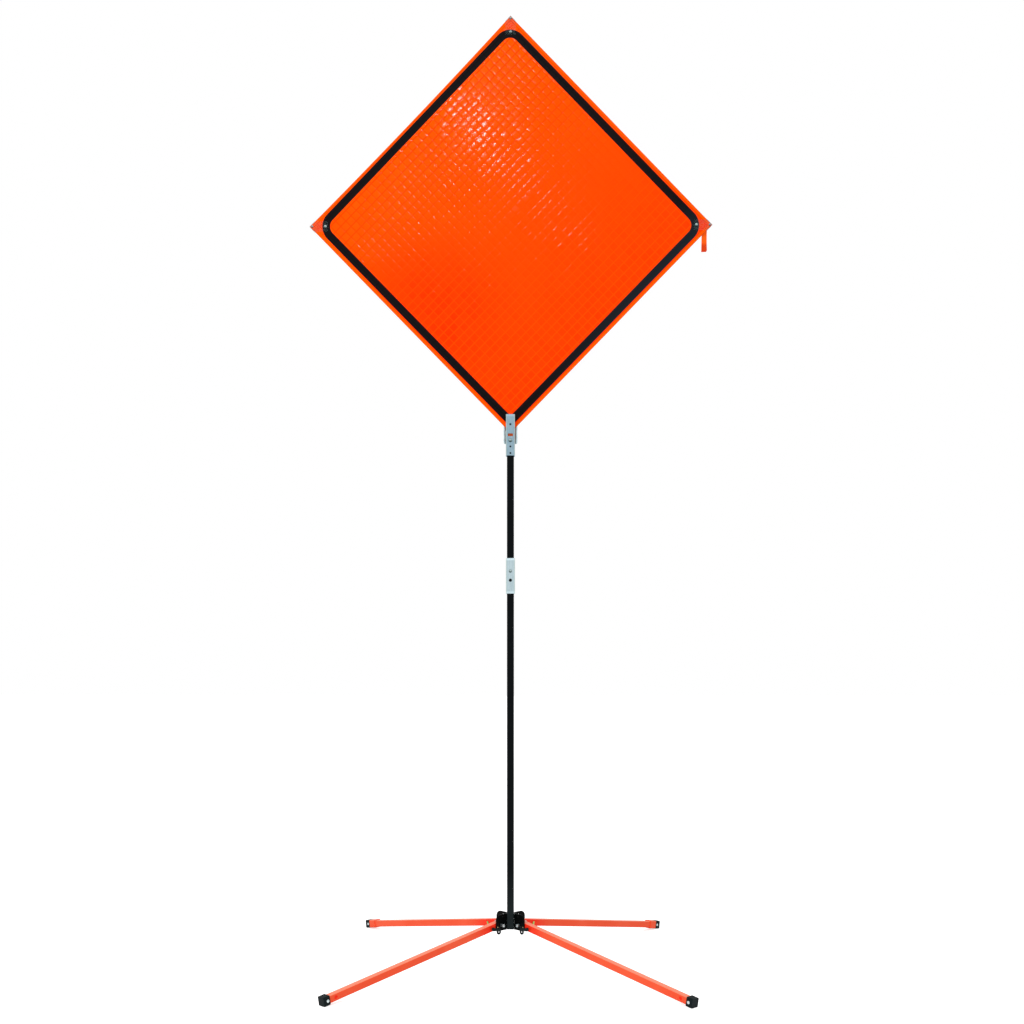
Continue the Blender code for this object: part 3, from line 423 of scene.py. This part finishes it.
def pultruded(name, base, darker, along):
    """Glass-fibre strip: long streaks of roving under a thin dull resin skin, with a painted glow."""
    made = Finish(name)
    squeeze = {"x": (0.02, 1.0, 1.0), "z": (1.0, 1.0, 0.02)}[along]
    roving = made.noise(700.0, 4.0, 0.65, made.stretched(*squeeze))
    cloud = made.span(made.noise(14.0, 3.0), 0.35, 0.7)
    colour = made.mix(made.span(roving, 0.32, 0.68), darker, base)
    colour = made.mix(made.sum("MULTIPLY", cloud, 0.3), colour, (0.95, 0.30, 0.12))
    # Painted light: the strip emits its own colour, so it shows lit in the shade inside the post.
    made.set(Base_Color=colour, Emission_Color=colour,
             Roughness=made.span(roving, 0.3, 0.7, 0.38, 0.55),
             Normal=made.bump(roving, roving_depth, 0.6), Emission_Strength=0.45)
    return made.material


def webbing():
    """Woven strap: ribs across its width over finer warp threads, with painted shade at its fold and lower down,
    and a faint painted glow.
    """
    made = Finish("orange_web")
    threads = []
    for way, scale, distortion in (("Z", 260.0, 0.6), ("X", 330.0, 0.5)):
        wave = made.node("TexWave", wave_type="BANDS", bands_direction=way, wave_profile="SIN")
        made.feed(wave.inputs["Vector"], made.place)
        wave.inputs["Scale"].default_value = scale
        wave.inputs["Distortion"].default_value = distortion
        threads.append(wave.outputs["Fac"])
    weave = made.sum("MULTIPLY", *threads)
    wash = made.span(made.noise(70.0, 3.0), 0.3, 0.7)
    colour = made.mix(weave, (0.90, 0.105, 0.004), (1.0, 0.19, 0.012))
    colour = made.mix(made.sum("MULTIPLY", wash, 0.35), colour, (0.86, 0.08, 0.004))
    low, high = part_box("tie_strap")
    down = made.dot((0.0, 0.0, high.z), (0.0, 0.0, -1.0 / (high.z - low.z)))
    # Painted shade: darker at the fold at the top, and again lower down.
    folded = made.span(down, *strap_fold_shade_shares, 1.0, 0.0)
    shaded = made.span(down, *strap_shade_shares, 0.0, 0.8)
    colour = made.mix(made.sum("MAXIMUM", folded, shaded), colour, (0.58, 0.030, 0.003))
    # Painted light: the strap glows faintly by its own emission.
    made.set(Base_Color=colour, Emission_Color=colour, Emission_Strength=0.15, Roughness=0.82,
             Normal=made.bump(weave, web_depth, 0.8), Specular_IOR_Level=0.15)
    return made.material


# The sign sheet's own two directions, along its edges

sheet_low, sheet_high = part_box("sign_sheet")
sheet_middle = Vector(((sheet_low.x + sheet_high.x) / 2, sheet_low.y,
                       (sheet_low.z + sheet_high.z) / 2))
half_wide = (sheet_high.x - sheet_low.x) / 2
half_tall = (sheet_high.z - sheet_low.z) / 2
rise_way = Vector((sheet_side / 2 / half_wide, 0, sheet_side / 2 / half_tall))
fall_way = Vector((sheet_side / 2 / half_wide, 0, -sheet_side / 2 / half_tall))


def sheet_distances(made, margins, radius, shift=0.0):
    """How far outside a rounded square a point lies. The square keeps two margins from the
    sheet's edges, and the shift moves it against the rise."""
    along = []
    for way, margin, off in ((rise_way, margins[0], shift), (fall_way, margins[1], 0.0)):
        place = made.sum("ADD", made.dot(sheet_middle, way), off)
        reach = sheet_side / 2 - margin - radius
        along.append(made.sum("SUBTRACT", made.sum("ABSOLUTE", place), reach))
    positive = [made.sum("MAXIMUM", value, 0.0) for value in along]
    square = made.sum("ADD", made.sum("POWER", positive[0], 2.0),
                      made.sum("POWER", positive[1], 2.0))
    inside = made.sum("MINIMUM", made.sum("MAXIMUM", *along), 0.0)
    return made.sum("SUBTRACT", made.sum("ADD", made.sum("SQRT", square), inside), radius)


def cell_grid(made):
    """Shares across a cell both ways, and the cell's own random number."""
    size = sheet_side / sheet_cells
    steps = [made.sum("ADD", made.sum("DIVIDE", made.dot(sheet_middle, way), size),
                      sheet_cells / 2) for way in (rise_way, fall_way)]
    shares = [made.sum("FRACT", step) for step in steps]
    whole = [made.sum("FLOOR", step) for step in steps]
    number = made.node("CombineXYZ")
    for socket, value in zip(number.inputs, whole):
        made.feed(socket, value)
    chance = made.node("TexWhiteNoise", noise_dimensions="2D")
    made.feed(chance.inputs["Vector"], number.outputs[0])
    return shares, chance.outputs["Value"]


def field_colour(made):
    """The lines between the cells, and the face's orange with them: painted light to the upper
    left, where the lines are darker, and deeper low on the left."""
    shares, chance = cell_grid(made)
    lines = []
    for share, width, weight in zip(shares, line_shares, line_weights):
        from_line = made.sum("MINIMUM", share, made.sum("SUBTRACT", 1.0, share))
        inner, outer = (width * blur for blur in line_blur_shares)
        lines.append(made.span(from_line, inner, outer, weight, 0.0))
    line = made.sum("MAXIMUM", *lines)
    # Painted light: the orange is lighter toward the upper left, as lit from there, and sets the lines' colour
    # too.
    level = made.span(made.dot(sheet_middle, painted_light_way), -painted_light_reach, painted_light_reach)
    field = made.mix(level, (1.0, 0.028, 0.0), (1.0, 0.092, 0.0))
    deep = made.distance(sheet_middle + Vector(deep_offset))
    field = made.mix(made.span(deep, *deep_reaches, 0.7, 0.0), field, (1.0, 0.016, 0.0))
    field = made.mix(made.span(chance, 0.0, 1.0, 0.0, 0.22), field, (1.0, 0.062, 0.0))
    mottle = made.span(made.noise(26.0, 4.0, 0.6), 0.3, 0.7, 0.0, 0.22)
    field = made.mix(mottle, field, (1.0, 0.044, 0.0))
    on_line = made.mix(level, (1.0, 0.068, 0.0), (1.0, 0.040, 0.0))
    return line, made.mix(line, field, on_line)


def hemmed_colour(made, field):
    """The face with its hem: a painted shadow at the sheet's edge, and on the upper half painted
    shade along the fold, and a seam."""
    from_edge = sheet_distances(made, (0.0, 0.0), sheet_corner_radius)
    upper = made.span(made.height(sheet_middle.z), -upper_reach, upper_reach)
    # Painted shade: the hem's fold is darker on the upper half, where the edge curls back.
    fold = made.sum("MULTIPLY", made.span(from_edge, *hem_fold_shade), upper)
    hemmed = made.mix(fold, (1.0, 0.085, 0.0), (0.86, 0.022, 0.0))
    hemmed = made.mix(made.span(from_edge, *hem_shadow), hemmed, (0.40, 0.085, 0.012))
    hem = made.span(from_edge, -hem_width - hem_blur, -hem_width + hem_blur)
    seam = made.sum("MULTIPLY", made.band(from_edge, -hem_width, *seam_reaches), upper)
    return made.mix(seam, made.mix(hem, field, hemmed), (0.80, 0.030, 0.0))


def border_ink(made):
    """Where the border is printed: all but square at the lowest corner, round at the others."""
    rounded = sheet_distances(made, border_margins, border_corner_radius, border_shift)
    square = sheet_distances(made, border_margins, border_low_radius, border_shift)
    low, high = (half_tall * share for share in border_low_shares)
    lowest = made.span(made.height(sheet_middle.z), low, high, 1.0, 0.0)
    difference = made.sum("SUBTRACT", square, rounded)
    from_border = made.sum("ADD", rounded, made.sum("MULTIPLY", lowest, difference))
    ragged = made.sum("MULTIPLY", made.sum("SUBTRACT", made.noise(300.0), 0.5), ink_ragged)
    half = border_width / 2
    return made.band(made.sum("ADD", from_border, ragged), -half, half - ink_blur, half + ink_blur)


def ink_colour(made, line):
    """Black ink, with a painted reflection of the sky low on the right."""
    # Painted reflection: the ink turns blue-grey low on the right.
    fall = made.span(made.dot(sheet_middle, (1.0, 0.0, -1.0)), *sky_fall_reaches)
    right = made.span(made.dot(sheet_middle, (1.0, 0.0, 0.0)), *sky_right_reaches, 0.0, 0.9)
    black = made.mix(line, (0.0050, 0.0050, 0.0056), (0.0038, 0.0038, 0.0042))
    return made.mix(made.sum("MULTIPLY", fall, right), black, (0.0095, 0.0150, 0.0200))


def prismatic_vinyl():
    """Fluorescent prismatic sheeting: sealed cells, a printed border, a folded hem and a faint painted glow."""
    made = Finish("orange_vinyl")
    line, field = field_colour(made)
    ink = border_ink(made)
    colour = made.mix(ink, hemmed_colour(made, field), ink_colour(made, line))
    gloss = made.span(made.noise(120.0, 3.0), 0.3, 0.7, 0.05, 0.09)
    # Painted light: the orange, not the ink, glows faintly by its own emission.
    made.set(Base_Color=colour, Emission_Color=made.mix(ink, colour, (0.0, 0.0, 0.0)),
             Emission_Strength=0.10,
             Roughness=made.sum("ADD", gloss, made.sum("MULTIPLY", ink, 0.40)),
             Specular_IOR_Level=0.034, Specular_Tint=(1.0, 0.66, 0.70))
    return made.material


def vinyl_back():
    """The sheet's woven back, with its hem stitched down all round."""
    made = Finish("orange_vinyl_back")
    waves = []
    for way in (rise_way, fall_way):
        phase = made.sum("MULTIPLY", made.dot(sheet_middle, way), 2 * pi / back_weave_pitch)
        waves.append(made.span(made.sum("SINE", phase), -1.0, 1.0))
    weave = made.sum("MULTIPLY", *waves)
    cloud = made.span(made.noise(8.0, 4.0, 0.6), 0.3, 0.7)
    colour = made.mix(weave, (0.66, 0.050, 0.006), (0.93, 0.105, 0.016))
    colour = made.mix(made.sum("MULTIPLY", cloud, 0.3), colour, (0.72, 0.070, 0.012))
    from_edge = sheet_distances(made, (0.0, 0.0), sheet_corner_radius)
    hem = made.span(from_edge, -back_hem_width - back_hem_blur, -back_hem_width + back_hem_blur)
    colour = made.mix(made.sum("MULTIPLY", hem, 0.6), colour, (0.98, 0.070, 0.004))
    seam = made.band(from_edge, -back_seam, *back_seam_reaches)
    stitches = made.sum("MULTIPLY", seam, waves[0])
    colour = made.mix(stitches, colour, (1.0, 0.22, 0.06))
    made.set(Base_Color=colour, Roughness=0.7, Specular_IOR_Level=0.2,
             Normal=made.bump(made.sum("ADD", weave, stitches), weave_depth, 0.6))
    return made.material


# Copies of the solids, with finer arcs and broken edges


def bend_edges(work, targets):
    """Splits each edge once and moves the new point to its target."""
    if not targets:
        return
    middles = KDTree(len(targets))
    for i, (edge, _) in enumerate(targets):
        middles.insert((edge.verts[0].co + edge.verts[1].co) / 2, i)
    middles.balance()
    edges = [edge for edge, _ in targets]
    made = bmesh.ops.subdivide_edges(work, edges=edges, cuts=1)
    for thing in made["geom_inner"]:
        if isinstance(thing, bmesh.types.BMVert):
            _, i, distance = middles.find(thing.co)
            if distance < weld_distance:
                thing.co = targets[i][1]


def on_rim(edge, plane):
    """Whether just one side of the edge lies flat in a plane with that normal."""
    flat = [abs(face.normal.dot(plane)) > flat_cosine for face in edge.link_faces]
    return len(flat) == 2 and flat[0] != flat[1]


def rim_tangent(edge, vert, along, plane):
    """Which way the rim runs at the vertex, and to which side it turns there. The way is None
    where the rim has a corner or carries no arc."""
    least_turn, most_turn = arc_turns
    for other in vert.link_edges:
        if other is not edge and on_rim(other, plane):
            far = other.other_vert(vert)
            way = (vert.co - far.co) if vert is edge.verts[0] else (far.co - vert.co)
            turn = way.angle(along, 0.0)
            if not least_turn < turn < most_turn:
                return None, 0.0
            side = plane.dot(way.cross(along)) * (1 if vert is edge.verts[0] else -1)
            if way.length > straight_ratio * along.length:
                return way.normalized(), side
            return (way.normalized() + along.normalized()).normalized(), side
    return None, 0.0


def fine_arcs(work):
    """Splits the chords along flat faces' rims where they stand for an arc."""
    targets = []
    for edge in work.edges:
        a, b = edge.verts
        along = b.co - a.co
        if len(edge.link_faces) != 2 or along.length > arc_chord:
            continue
        for face in edge.link_faces:
            if not on_rim(edge, face.normal):
                continue
            start, start_side = rim_tangent(edge, a, along, face.normal)
            end, end_side = rim_tangent(edge, b, along, face.normal)
            if start is None or end is None or start_side * end_side <= 0:
                continue
            outward = start - end
            if outward.length > least_bend:
                bulge = along.length / 2 * tan(start.angle(end) / 4)
                targets.append((edge, (a.co + b.co) / 2 + bulge * outward.normalized()))
                break
    bend_edges(work, targets)


def fine_rings(work, point, axis):
    """Splits the chords of every ring round the axis through the point."""
    least_turn, most_turn = ring_turns
    targets = []
    for edge in work.edges:
        spokes = []
        for vert in edge.verts:
            off = vert.co - point
            spokes.append((off - axis * off.dot(axis), off.dot(axis)))
        (a, low), (b, high) = spokes
        slanted = abs(low - high) > ring_tolerance or abs(a.length - b.length) > ring_tolerance
        if slanted or a.length < ring_least_radius:
            continue
        if least_turn < a.angle(b) < most_turn:
            spoke = (a + b).normalized() * a.length
            targets.append((edge, point + axis * low + spoke))
    bend_edges(work, targets)


def refine(node, material, edge, arcs=0, rings=0, axis=None, point=None):
    """A finer copy of a node's solid, with its edges broken, that stands for it. Arcs and
    rings count how often the chords of each are split."""
    work = bmesh.new()
    work.from_mesh(frame["nodes"][node].data)
    bmesh.ops.remove_doubles(work, verts=work.verts[:], dist=weld_distance)
    bmesh.ops.dissolve_limit(work, angle_limit=flat_angle, verts=work.verts[:],
                             edges=work.edges[:], delimit={"NORMAL"})
    low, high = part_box(node)
    centre = (low + high) / 2 if point is None else Vector(point)
    for _ in range(rings):
        work.normal_update()
        fine_rings(work, centre, Vector(axis).normalized())
    for _ in range(arcs):
        work.normal_update()
        fine_arcs(work)
    work.normal_update()
    sharp = [e for e in work.edges
             if len(e.link_faces) == 2 and e.calc_face_angle(0.0) > edge_angle]
    bmesh.ops.bevel(work, geom=sharp, offset=edge, segments=2, profile=0.5,
                    affect="EDGES", clamp_overlap=True, loop_slide=True)
    bmesh.ops.triangulate(work, faces=[f for f in work.faces if len(f.verts) > 4])
    mesh = bpy.data.meshes.new(node + "_fine")
    work.to_mesh(mesh)
    work.free()
    piece(node + "_fine", mesh, material, node_body[node], node_slot[node], node,
          even_faces=not rings)


def refine_round(node, look, axis, point=None):
    """A finer copy of a round fastener on an axis."""
    refine(node, finishes[look], thin_edge, rings=2, axis=axis, point=point)


# Objects and meshes


def placed(name, data):
    """A new object in the scene."""
    thing = bpy.data.objects.new(name, data)
    bpy.context.scene.collection.objects.link(thing)
    return thing


def turn_outward(mesh):
    """Turns all the faces of a closed mesh outward."""
    work = bmesh.new()
    work.from_mesh(mesh)
    bmesh.ops.recalc_face_normals(work, faces=work.faces[:])
    work.to_mesh(mesh)
    work.free()


def piece(name, mesh, material, body, slot, *nodes, even_faces=True):
    """A shown piece that rides on a body and stands for the nodes."""
    thing = placed(name, mesh)
    mesh.materials.clear()
    mesh.materials.append(material)
    mesh.shade_smooth()
    mesh.set_sharp_from_angle(angle=smooth_angle)
    if even_faces:
        even = thing.modifiers.new("even_normals", "WEIGHTED_NORMAL")
        even.keep_sharp = True
    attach(thing, body)
    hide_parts(*nodes)
    return thing


# The sign sheet


def quilt(rise, fall):
    """How far forward the sheet's face stands, for a place given along its two edges."""
    x = half_wide * (rise + fall) / sheet_side
    z = half_tall * (rise - fall) / sheet_side
    across, up = abs(x) / half_wide, abs(z) / half_tall
    free = quilt_gain * across * up * max(0.0, 1 - across - up)
    even, uneven = quilt_shares
    rise_turns, fall_turns = (turns / sheet_side for turns in quilt_turns)
    slow = even + uneven * sin(rise_turns * rise + quilt_start) * cos(fall_turns * fall)
    start, end = crease_ends
    along = min(1.0, max(0.0, min(rise - start, end - rise) / crease_fade))
    ridge = max(0.0, 1 - abs(fall - crease_offset) / crease_half_width)
    return quilt_wave * free * slow + crease_height * ridge * along


def cell_relief(i, j, tilts):
    """How proud of the sealed lines a grid point stands, by its cell's crown and tilt."""
    steps = len(cell_shares)
    if i % steps == 0 or j % steps == 0:
        return 0.0
    lean_rise, lean_fall, lift = tilts[i // steps, j // steps]
    u = 2 * cell_shares[i % steps] - 1
    v = 2 * cell_shares[j % steps] - 1
    crown = cell_crown_along * (1 - u * u) + cell_crown_across * (1 - v * v)
    lean = cell_tilt_along * lean_rise * u + cell_tilt_across * lean_fall * v
    return groove_depth + crown * (1 + cell_spread_share * lift) + lean


def sheet_place(rise, fall):
    """x and z of a place given along the two edges. The upper left edge bows inward."""
    drawn_in = edge_bow * max(0.0, -2 * fall / sheet_side) ** edge_bow_power
    pulled = fall + drawn_in * max(0.0, 1 - (2 * rise / sheet_side) ** 2)
    return (sheet_middle.x + half_wide * (rise + pulled) / sheet_side,
            sheet_middle.z + half_tall * (rise - pulled) / sheet_side)


def leaf_faces(count):
    """Faces of a front and a back grid of points, and of the rim that joins them."""
    fronts = [(i * count + j, i * count + j + 1, (i + 1) * count + j + 1, (i + 1) * count + j)
              for i in range(count - 1) for j in range(count - 1)]
    total = count * count
    backs = [tuple(total + k for k in reversed(face)) for face in fronts]
    rim = list(range(count))
    rim += [i * count + count - 1 for i in range(1, count)]
    rim += [(count - 1) * count + j for j in range(count - 2, -1, -1)]
    rim += [i * count for i in range(count - 2, 0, -1)]
    sides = [(b, a, total + a, total + b) for a, b in zip(rim, rim[1:] + rim[:1])]
    return fronts, backs + sides


def build_sheet():
    """A grid of sealed cells over the whole diamond, each a little crowned and tilted."""
    draw = random.Random(cell_seed)
    tilts = {(i, j): [draw.uniform(-1, 1) for _ in range(3)]
             for i in range(sheet_cells) for j in range(sheet_cells)}
    size = sheet_side / sheet_cells
    lines = [(i + share) * size - sheet_side / 2
             for i in range(sheet_cells) for share in cell_shares] + [sheet_side / 2]
    front, back = [], []
    for i, rise in enumerate(lines):
        for j, fall in enumerate(lines):
            x, z = sheet_place(rise, fall)
            forward = quilt(rise, fall)
            proud = cell_relief(i, j, tilts)
            front.append((x, sheet_low.y + face_inset - forward - proud, z))
            back.append((x, sheet_high.y - forward, z))
    face_front, face_rest = leaf_faces(len(lines))
    mesh = bpy.data.meshes.new("sign_face")
    mesh.from_pydata(front + back, [], face_front + face_rest)
    sheet = piece("sign_face", mesh, finishes["orange_vinyl"], "sign", "orange_vinyl",
                  "sign_sheet", even_faces=False)
    mesh.materials.append(vinyl_back())
    for face in mesh.polygons:
        face.material_index = 0 if face.index < len(face_front) else 1
    turn_outward(mesh)


# The tie strap


def ply_points(low, high, rear, length):
    """The outlines of one ply of the strap, from its held end down. The rear ply is folded
    over behind the front one."""
    way = -1 if rear else 1
    twist = strap_twist + rear * strap_rear_twist
    points = []
    for i in range(strap_steps + 1):
        share = i / strap_steps
        free = max(0.0, share - strap_held_share)
        fold = sin(min(1.0, share / strap_fold_share) * pi / 2)
        x = (low.x + high.x) / 2 + way * strap_splay * (free / (1 - strap_held_share)) ** 2
        y = low.y + strap_ply / 2 + strap_wave * (1 - cos(2 * pi * free))
        y += rear * ((strap_ply + strap_gap) * fold + strap_wave * free)
        z = high.z - strap_ply - share * (high.z - low.z - strap_ply) * length
        turn = way * twist * sin(pi * free)
        across = Vector((cos(turn), sin(turn), 0)) * strap_width / 2
        out = Vector((-sin(turn), cos(turn), 0)) * strap_ply / 2
        points += [tuple(Vector((x, y, z)) + side * across + lift * out)
                   for side, lift in strap_outline_shares]
    return points


def loft_faces(ring, steps):
    """Faces round a row of outlines, closed at both ends."""
    last = ring * steps
    faces = [tuple(range(ring)), tuple(range(last, last + ring))]
    for i in range(0, last, ring):
        for j in range(ring):
            k = (j + 1) % ring
            faces.append((i + j, i + k, i + ring + k, i + ring + j))
    return faces


def build_strap():
    """Two plies of webbing from one fold, spread a little at their lower ends."""
    low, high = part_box("tie_strap")
    for name, rear, length in (("front", 0, strap_front_share), ("rear", 1, 1.0)):
        mesh = bpy.data.meshes.new("strap_" + name)
        mesh.from_pydata(ply_points(low, high, rear, length), [],
                         loft_faces(len(strap_outline_shares), strap_steps))
        turn_outward(mesh)
        strap = piece("strap_" + name, mesh, finishes["orange_web"], "sign", "orange_web",
                      "tie_strap")


# Stage, lights and camera


def build_floor():
    """A wide pale floor, lifted to white where the lens sees it."""
    half = floor_size / 2
    mesh = bpy.data.meshes.new("floor")
    mesh.from_pydata([(-half, -half, 0), (half, -half, 0), (half, half, 0), (-half, half, 0)],
                     [], [(0, 1, 2, 3)])
    floor = placed("floor", mesh)
    floor.location.z = -floor_drop
    made = Finish("pale_floor")
    made.set(Base_Color=(0.86, 0.86, 0.86), Roughness=0.9)
    lift = made.node("Emission")
    made.feed(lift.inputs["Color"], (1.0, 1.0, 1.0))
    made.feed(lift.inputs["Strength"], made.sum("MULTIPLY", made.seen(), floor_glow))
    both = made.node("AddShader")
    made.feed(both.inputs[0], made.surface.outputs[0])
    made.feed(both.inputs[1], lift.outputs[0])
    made.feed(made.tree.nodes["Material Output"].inputs["Surface"], both.outputs[0])
    mesh.materials.append(made.material)


def build_world():
    """A white studio: full white to the lens, and a weaker fill as light."""
    world = bpy.data.worlds.new("studio")
    bpy.context.scene.world = world
    world.use_nodes = True
    made = Nodes(world.node_tree)
    fill = made.tree.nodes["Background"]
    white = made.node("Background")
    for background, strength in ((fill, fill_strength), (white, 1.0)):
        made.feed(background.inputs["Color"], (1.0, 1.0, 1.0))
        made.feed(background.inputs["Strength"], strength)
    mixed = made.node("MixShader")
    for socket, value in zip(mixed.inputs, (made.seen(), fill.outputs[0], white.outputs[0])):
        made.feed(socket, value)
    made.feed(made.tree.nodes["World Output"].inputs["Surface"], mixed.outputs[0])


def build_lights():
    """Both lamps. Only the glint shows in glossy surfaces."""
    lamps = (
        ("softbox", softbox_size, softbox_place, softbox_power),
        ("glint", glint_size, glint_place, glint_power),
    )
    for name, size, place, power in lamps:
        data = bpy.data.lights.new(name, "AREA")
        data.shape = "RECTANGLE"
        data.size, data.size_y = size
        data.energy = power
        lamp = placed(name, data)
        lamp.location = place
        aim = Vector(light_aim) - Vector(place)
        lamp.rotation_euler = aim.to_track_quat("-Z", "Y").to_euler()
        lamp.visible_camera = False
        lamp.visible_glossy = name == "glint"


def build_camera():
    """The camera, fitted to the photograph."""
    data = bpy.data.cameras.new("camera")
    data.lens = camera_lens
    data.sensor_width = camera_film
    data.shift_y = camera_shift
    camera = placed("camera", data)
    camera.location = camera_place
    camera.rotation_euler = camera_turn
    bpy.context.scene.camera = camera
    bpy.context.scene.view_settings.view_transform = "Standard"


# The stand's looks and pieces

node_slot = {part["node"]: part["material_slot"] for part in frame["record"]["subparts"]}
node_body = {node: body for body, nodes in frame["record"]["behaviour"]["bodies"].items()
             for node in nodes}
joints = {joint["name"]: joint for joint in frame["joints"]}
dimples = []
for corner in ("front_left", "front_right"):
    cap = sum(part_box(corner + "_foot_cap"), Vector()) / 2
    inward = (Vector(joints[corner + "_leg_fold"]["pos_m"]) - cap).normalized()
    dimples.append(cap + dimple_from_cap * inward)
finishes = {
    "black_coat": powder_coat("black_coat", (0.0018, 0.0030, 0.0036), (0.0012, 0.0022, 0.0028),
                              (0.013, 0.019, 0.020), (0.032, 0.038, 0.038), 0.05, 0.9),
    "black_plate": powder_coat("black_plate", (0.0012, 0.0020, 0.0020), (0.0008, 0.0014, 0.0014),
                               (0.004, 0.006, 0.006), (0.028, 0.034, 0.034), 0.05),
    "orange_coat": powder_coat("orange_coat", (0.97, 0.113, 0.040), (0.94, 0.094, 0.030),
                               (1.0, 0.15, 0.07), (0.60, 0.08, 0.03), 0.16,
                               painted_shade=(1.0, 0.018, 0.001), upward=(1.0, 0.300, 0.175),
                               dimples=dimples),
    "zinc": plated("zinc", (0.225, 0.335, 0.40), (0.28, 0.395, 0.46), 0.34, sleeve="sign_post",
                   top_band=0.5),
    "pale_zinc": plated("pale_zinc", (0.42, 0.53, 0.565), (0.47, 0.575, 0.61), 0.42,
                        sleeve="mast_coupler", top_band=0.8, low_band=0.6),
    "plate_zinc": plated("plate_zinc", (0.50, 0.65, 0.69), (0.58, 0.71, 0.73), 0.30),
    "bright_zinc": plated("bright_zinc", (0.50, 0.59, 0.60), (0.62, 0.70, 0.70), 0.28),
    "shaded_zinc": plated("shaded_zinc", (0.32, 0.42, 0.42), (0.43, 0.52, 0.51), 0.28, 0.92),
    "yellow_zinc": plated("yellow_zinc", (0.30, 0.42, 0.10), (0.46, 0.48, 0.20), 0.33),
    "brass": plated("brass", (0.62, 0.50, 0.26), (0.70, 0.58, 0.34), 0.30),
    "rubber": moulded_rubber(),
    "orange_vinyl": prismatic_vinyl(),
    "glass_fibre": pultruded("glass_fibre", (0.88, 0.16, 0.042), (0.74, 0.11, 0.028), "z"),
    "clear_plastic": clear_sheet_plastic(),
    "orange_web": webbing(),
}
cross_fibre = pultruded("glass_fibre_cross", (0.88, 0.16, 0.042), (0.74, 0.11, 0.028), "x")

build_camera()
build_lights()
build_floor()
build_world()

for name in ("mast_lower", "mast_upper", "sign_post"):
    refine(name, finishes[node_slot[name]], tube_edge, arcs=2)
refine("mast_coupler", finishes["pale_zinc"], tube_edge, arcs=2)
for name in ("hub_bracket_left", "hub_bracket_right"):
    refine(name, finishes["black_plate"], plate_edge, arcs=2)
refine("rib_saddle", finishes["plate_zinc"], plate_edge, arcs=2)
refine("upright_rib", finishes["glass_fibre"], small_edge)
refine("cross_rib", cross_fibre, small_edge)
for corner in ("top", "left", "right"):
    refine("corner_pocket_" + corner, finishes["clear_plastic"], thin_edge)
    for kind in ("tip", "inner"):
        refine_round(f"{corner}_{kind}_rivet", "shaded_zinc", (0, 1, 0))
for name in ("bottom_rivet", "rib_bolt", "bracket_bolt", "rib_stop", "snap_button",
             "clamp_pad", "clamp_screw", "post_rivet_upper", "post_rivet_lower"):
    look = {"snap_button": "shaded_zinc", "bracket_bolt": "shaded_zinc"}.get(name, node_slot[name])
    refine_round(name, look, (0, 1, 0))
refine_round("clamp_handle", "bright_zinc", (0, 0, 1))
for name in ("hub_bolt_lower", "hub_bolt_upper"):
    refine_round(name, "bright_zinc", (1, 0, 0),
                 (0, 0, sum(corner.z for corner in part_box(name)) / 2))
for corner in ("front_left", "front_right", "rear_left", "rear_right"):
    fold = joints[corner + "_leg_fold"]
    lever = joints[corner + "_lever_release"]
    refine(corner + "_leg", finishes["orange_coat"], tube_edge, arcs=2)
    refine(corner + "_foot_cap", finishes["rubber"], rubber_edge, arcs=1)
    refine_round(corner + "_foot_rivet", "bright_zinc", fold["axis"])
    refine_round(corner + "_pivot_bolt", "bright_zinc", fold["axis"], fold["pos_m"])
    refine_round(corner + "_lever_pin", "yellow_zinc", lever["axis"], lever["pos_m"])
    refine(corner + "_lock_lever", finishes["black_coat"], small_edge, arcs=2)
    refine_round(corner + "_lock_stud", "brass", fold["axis"])
build_sheet()
build_strap()
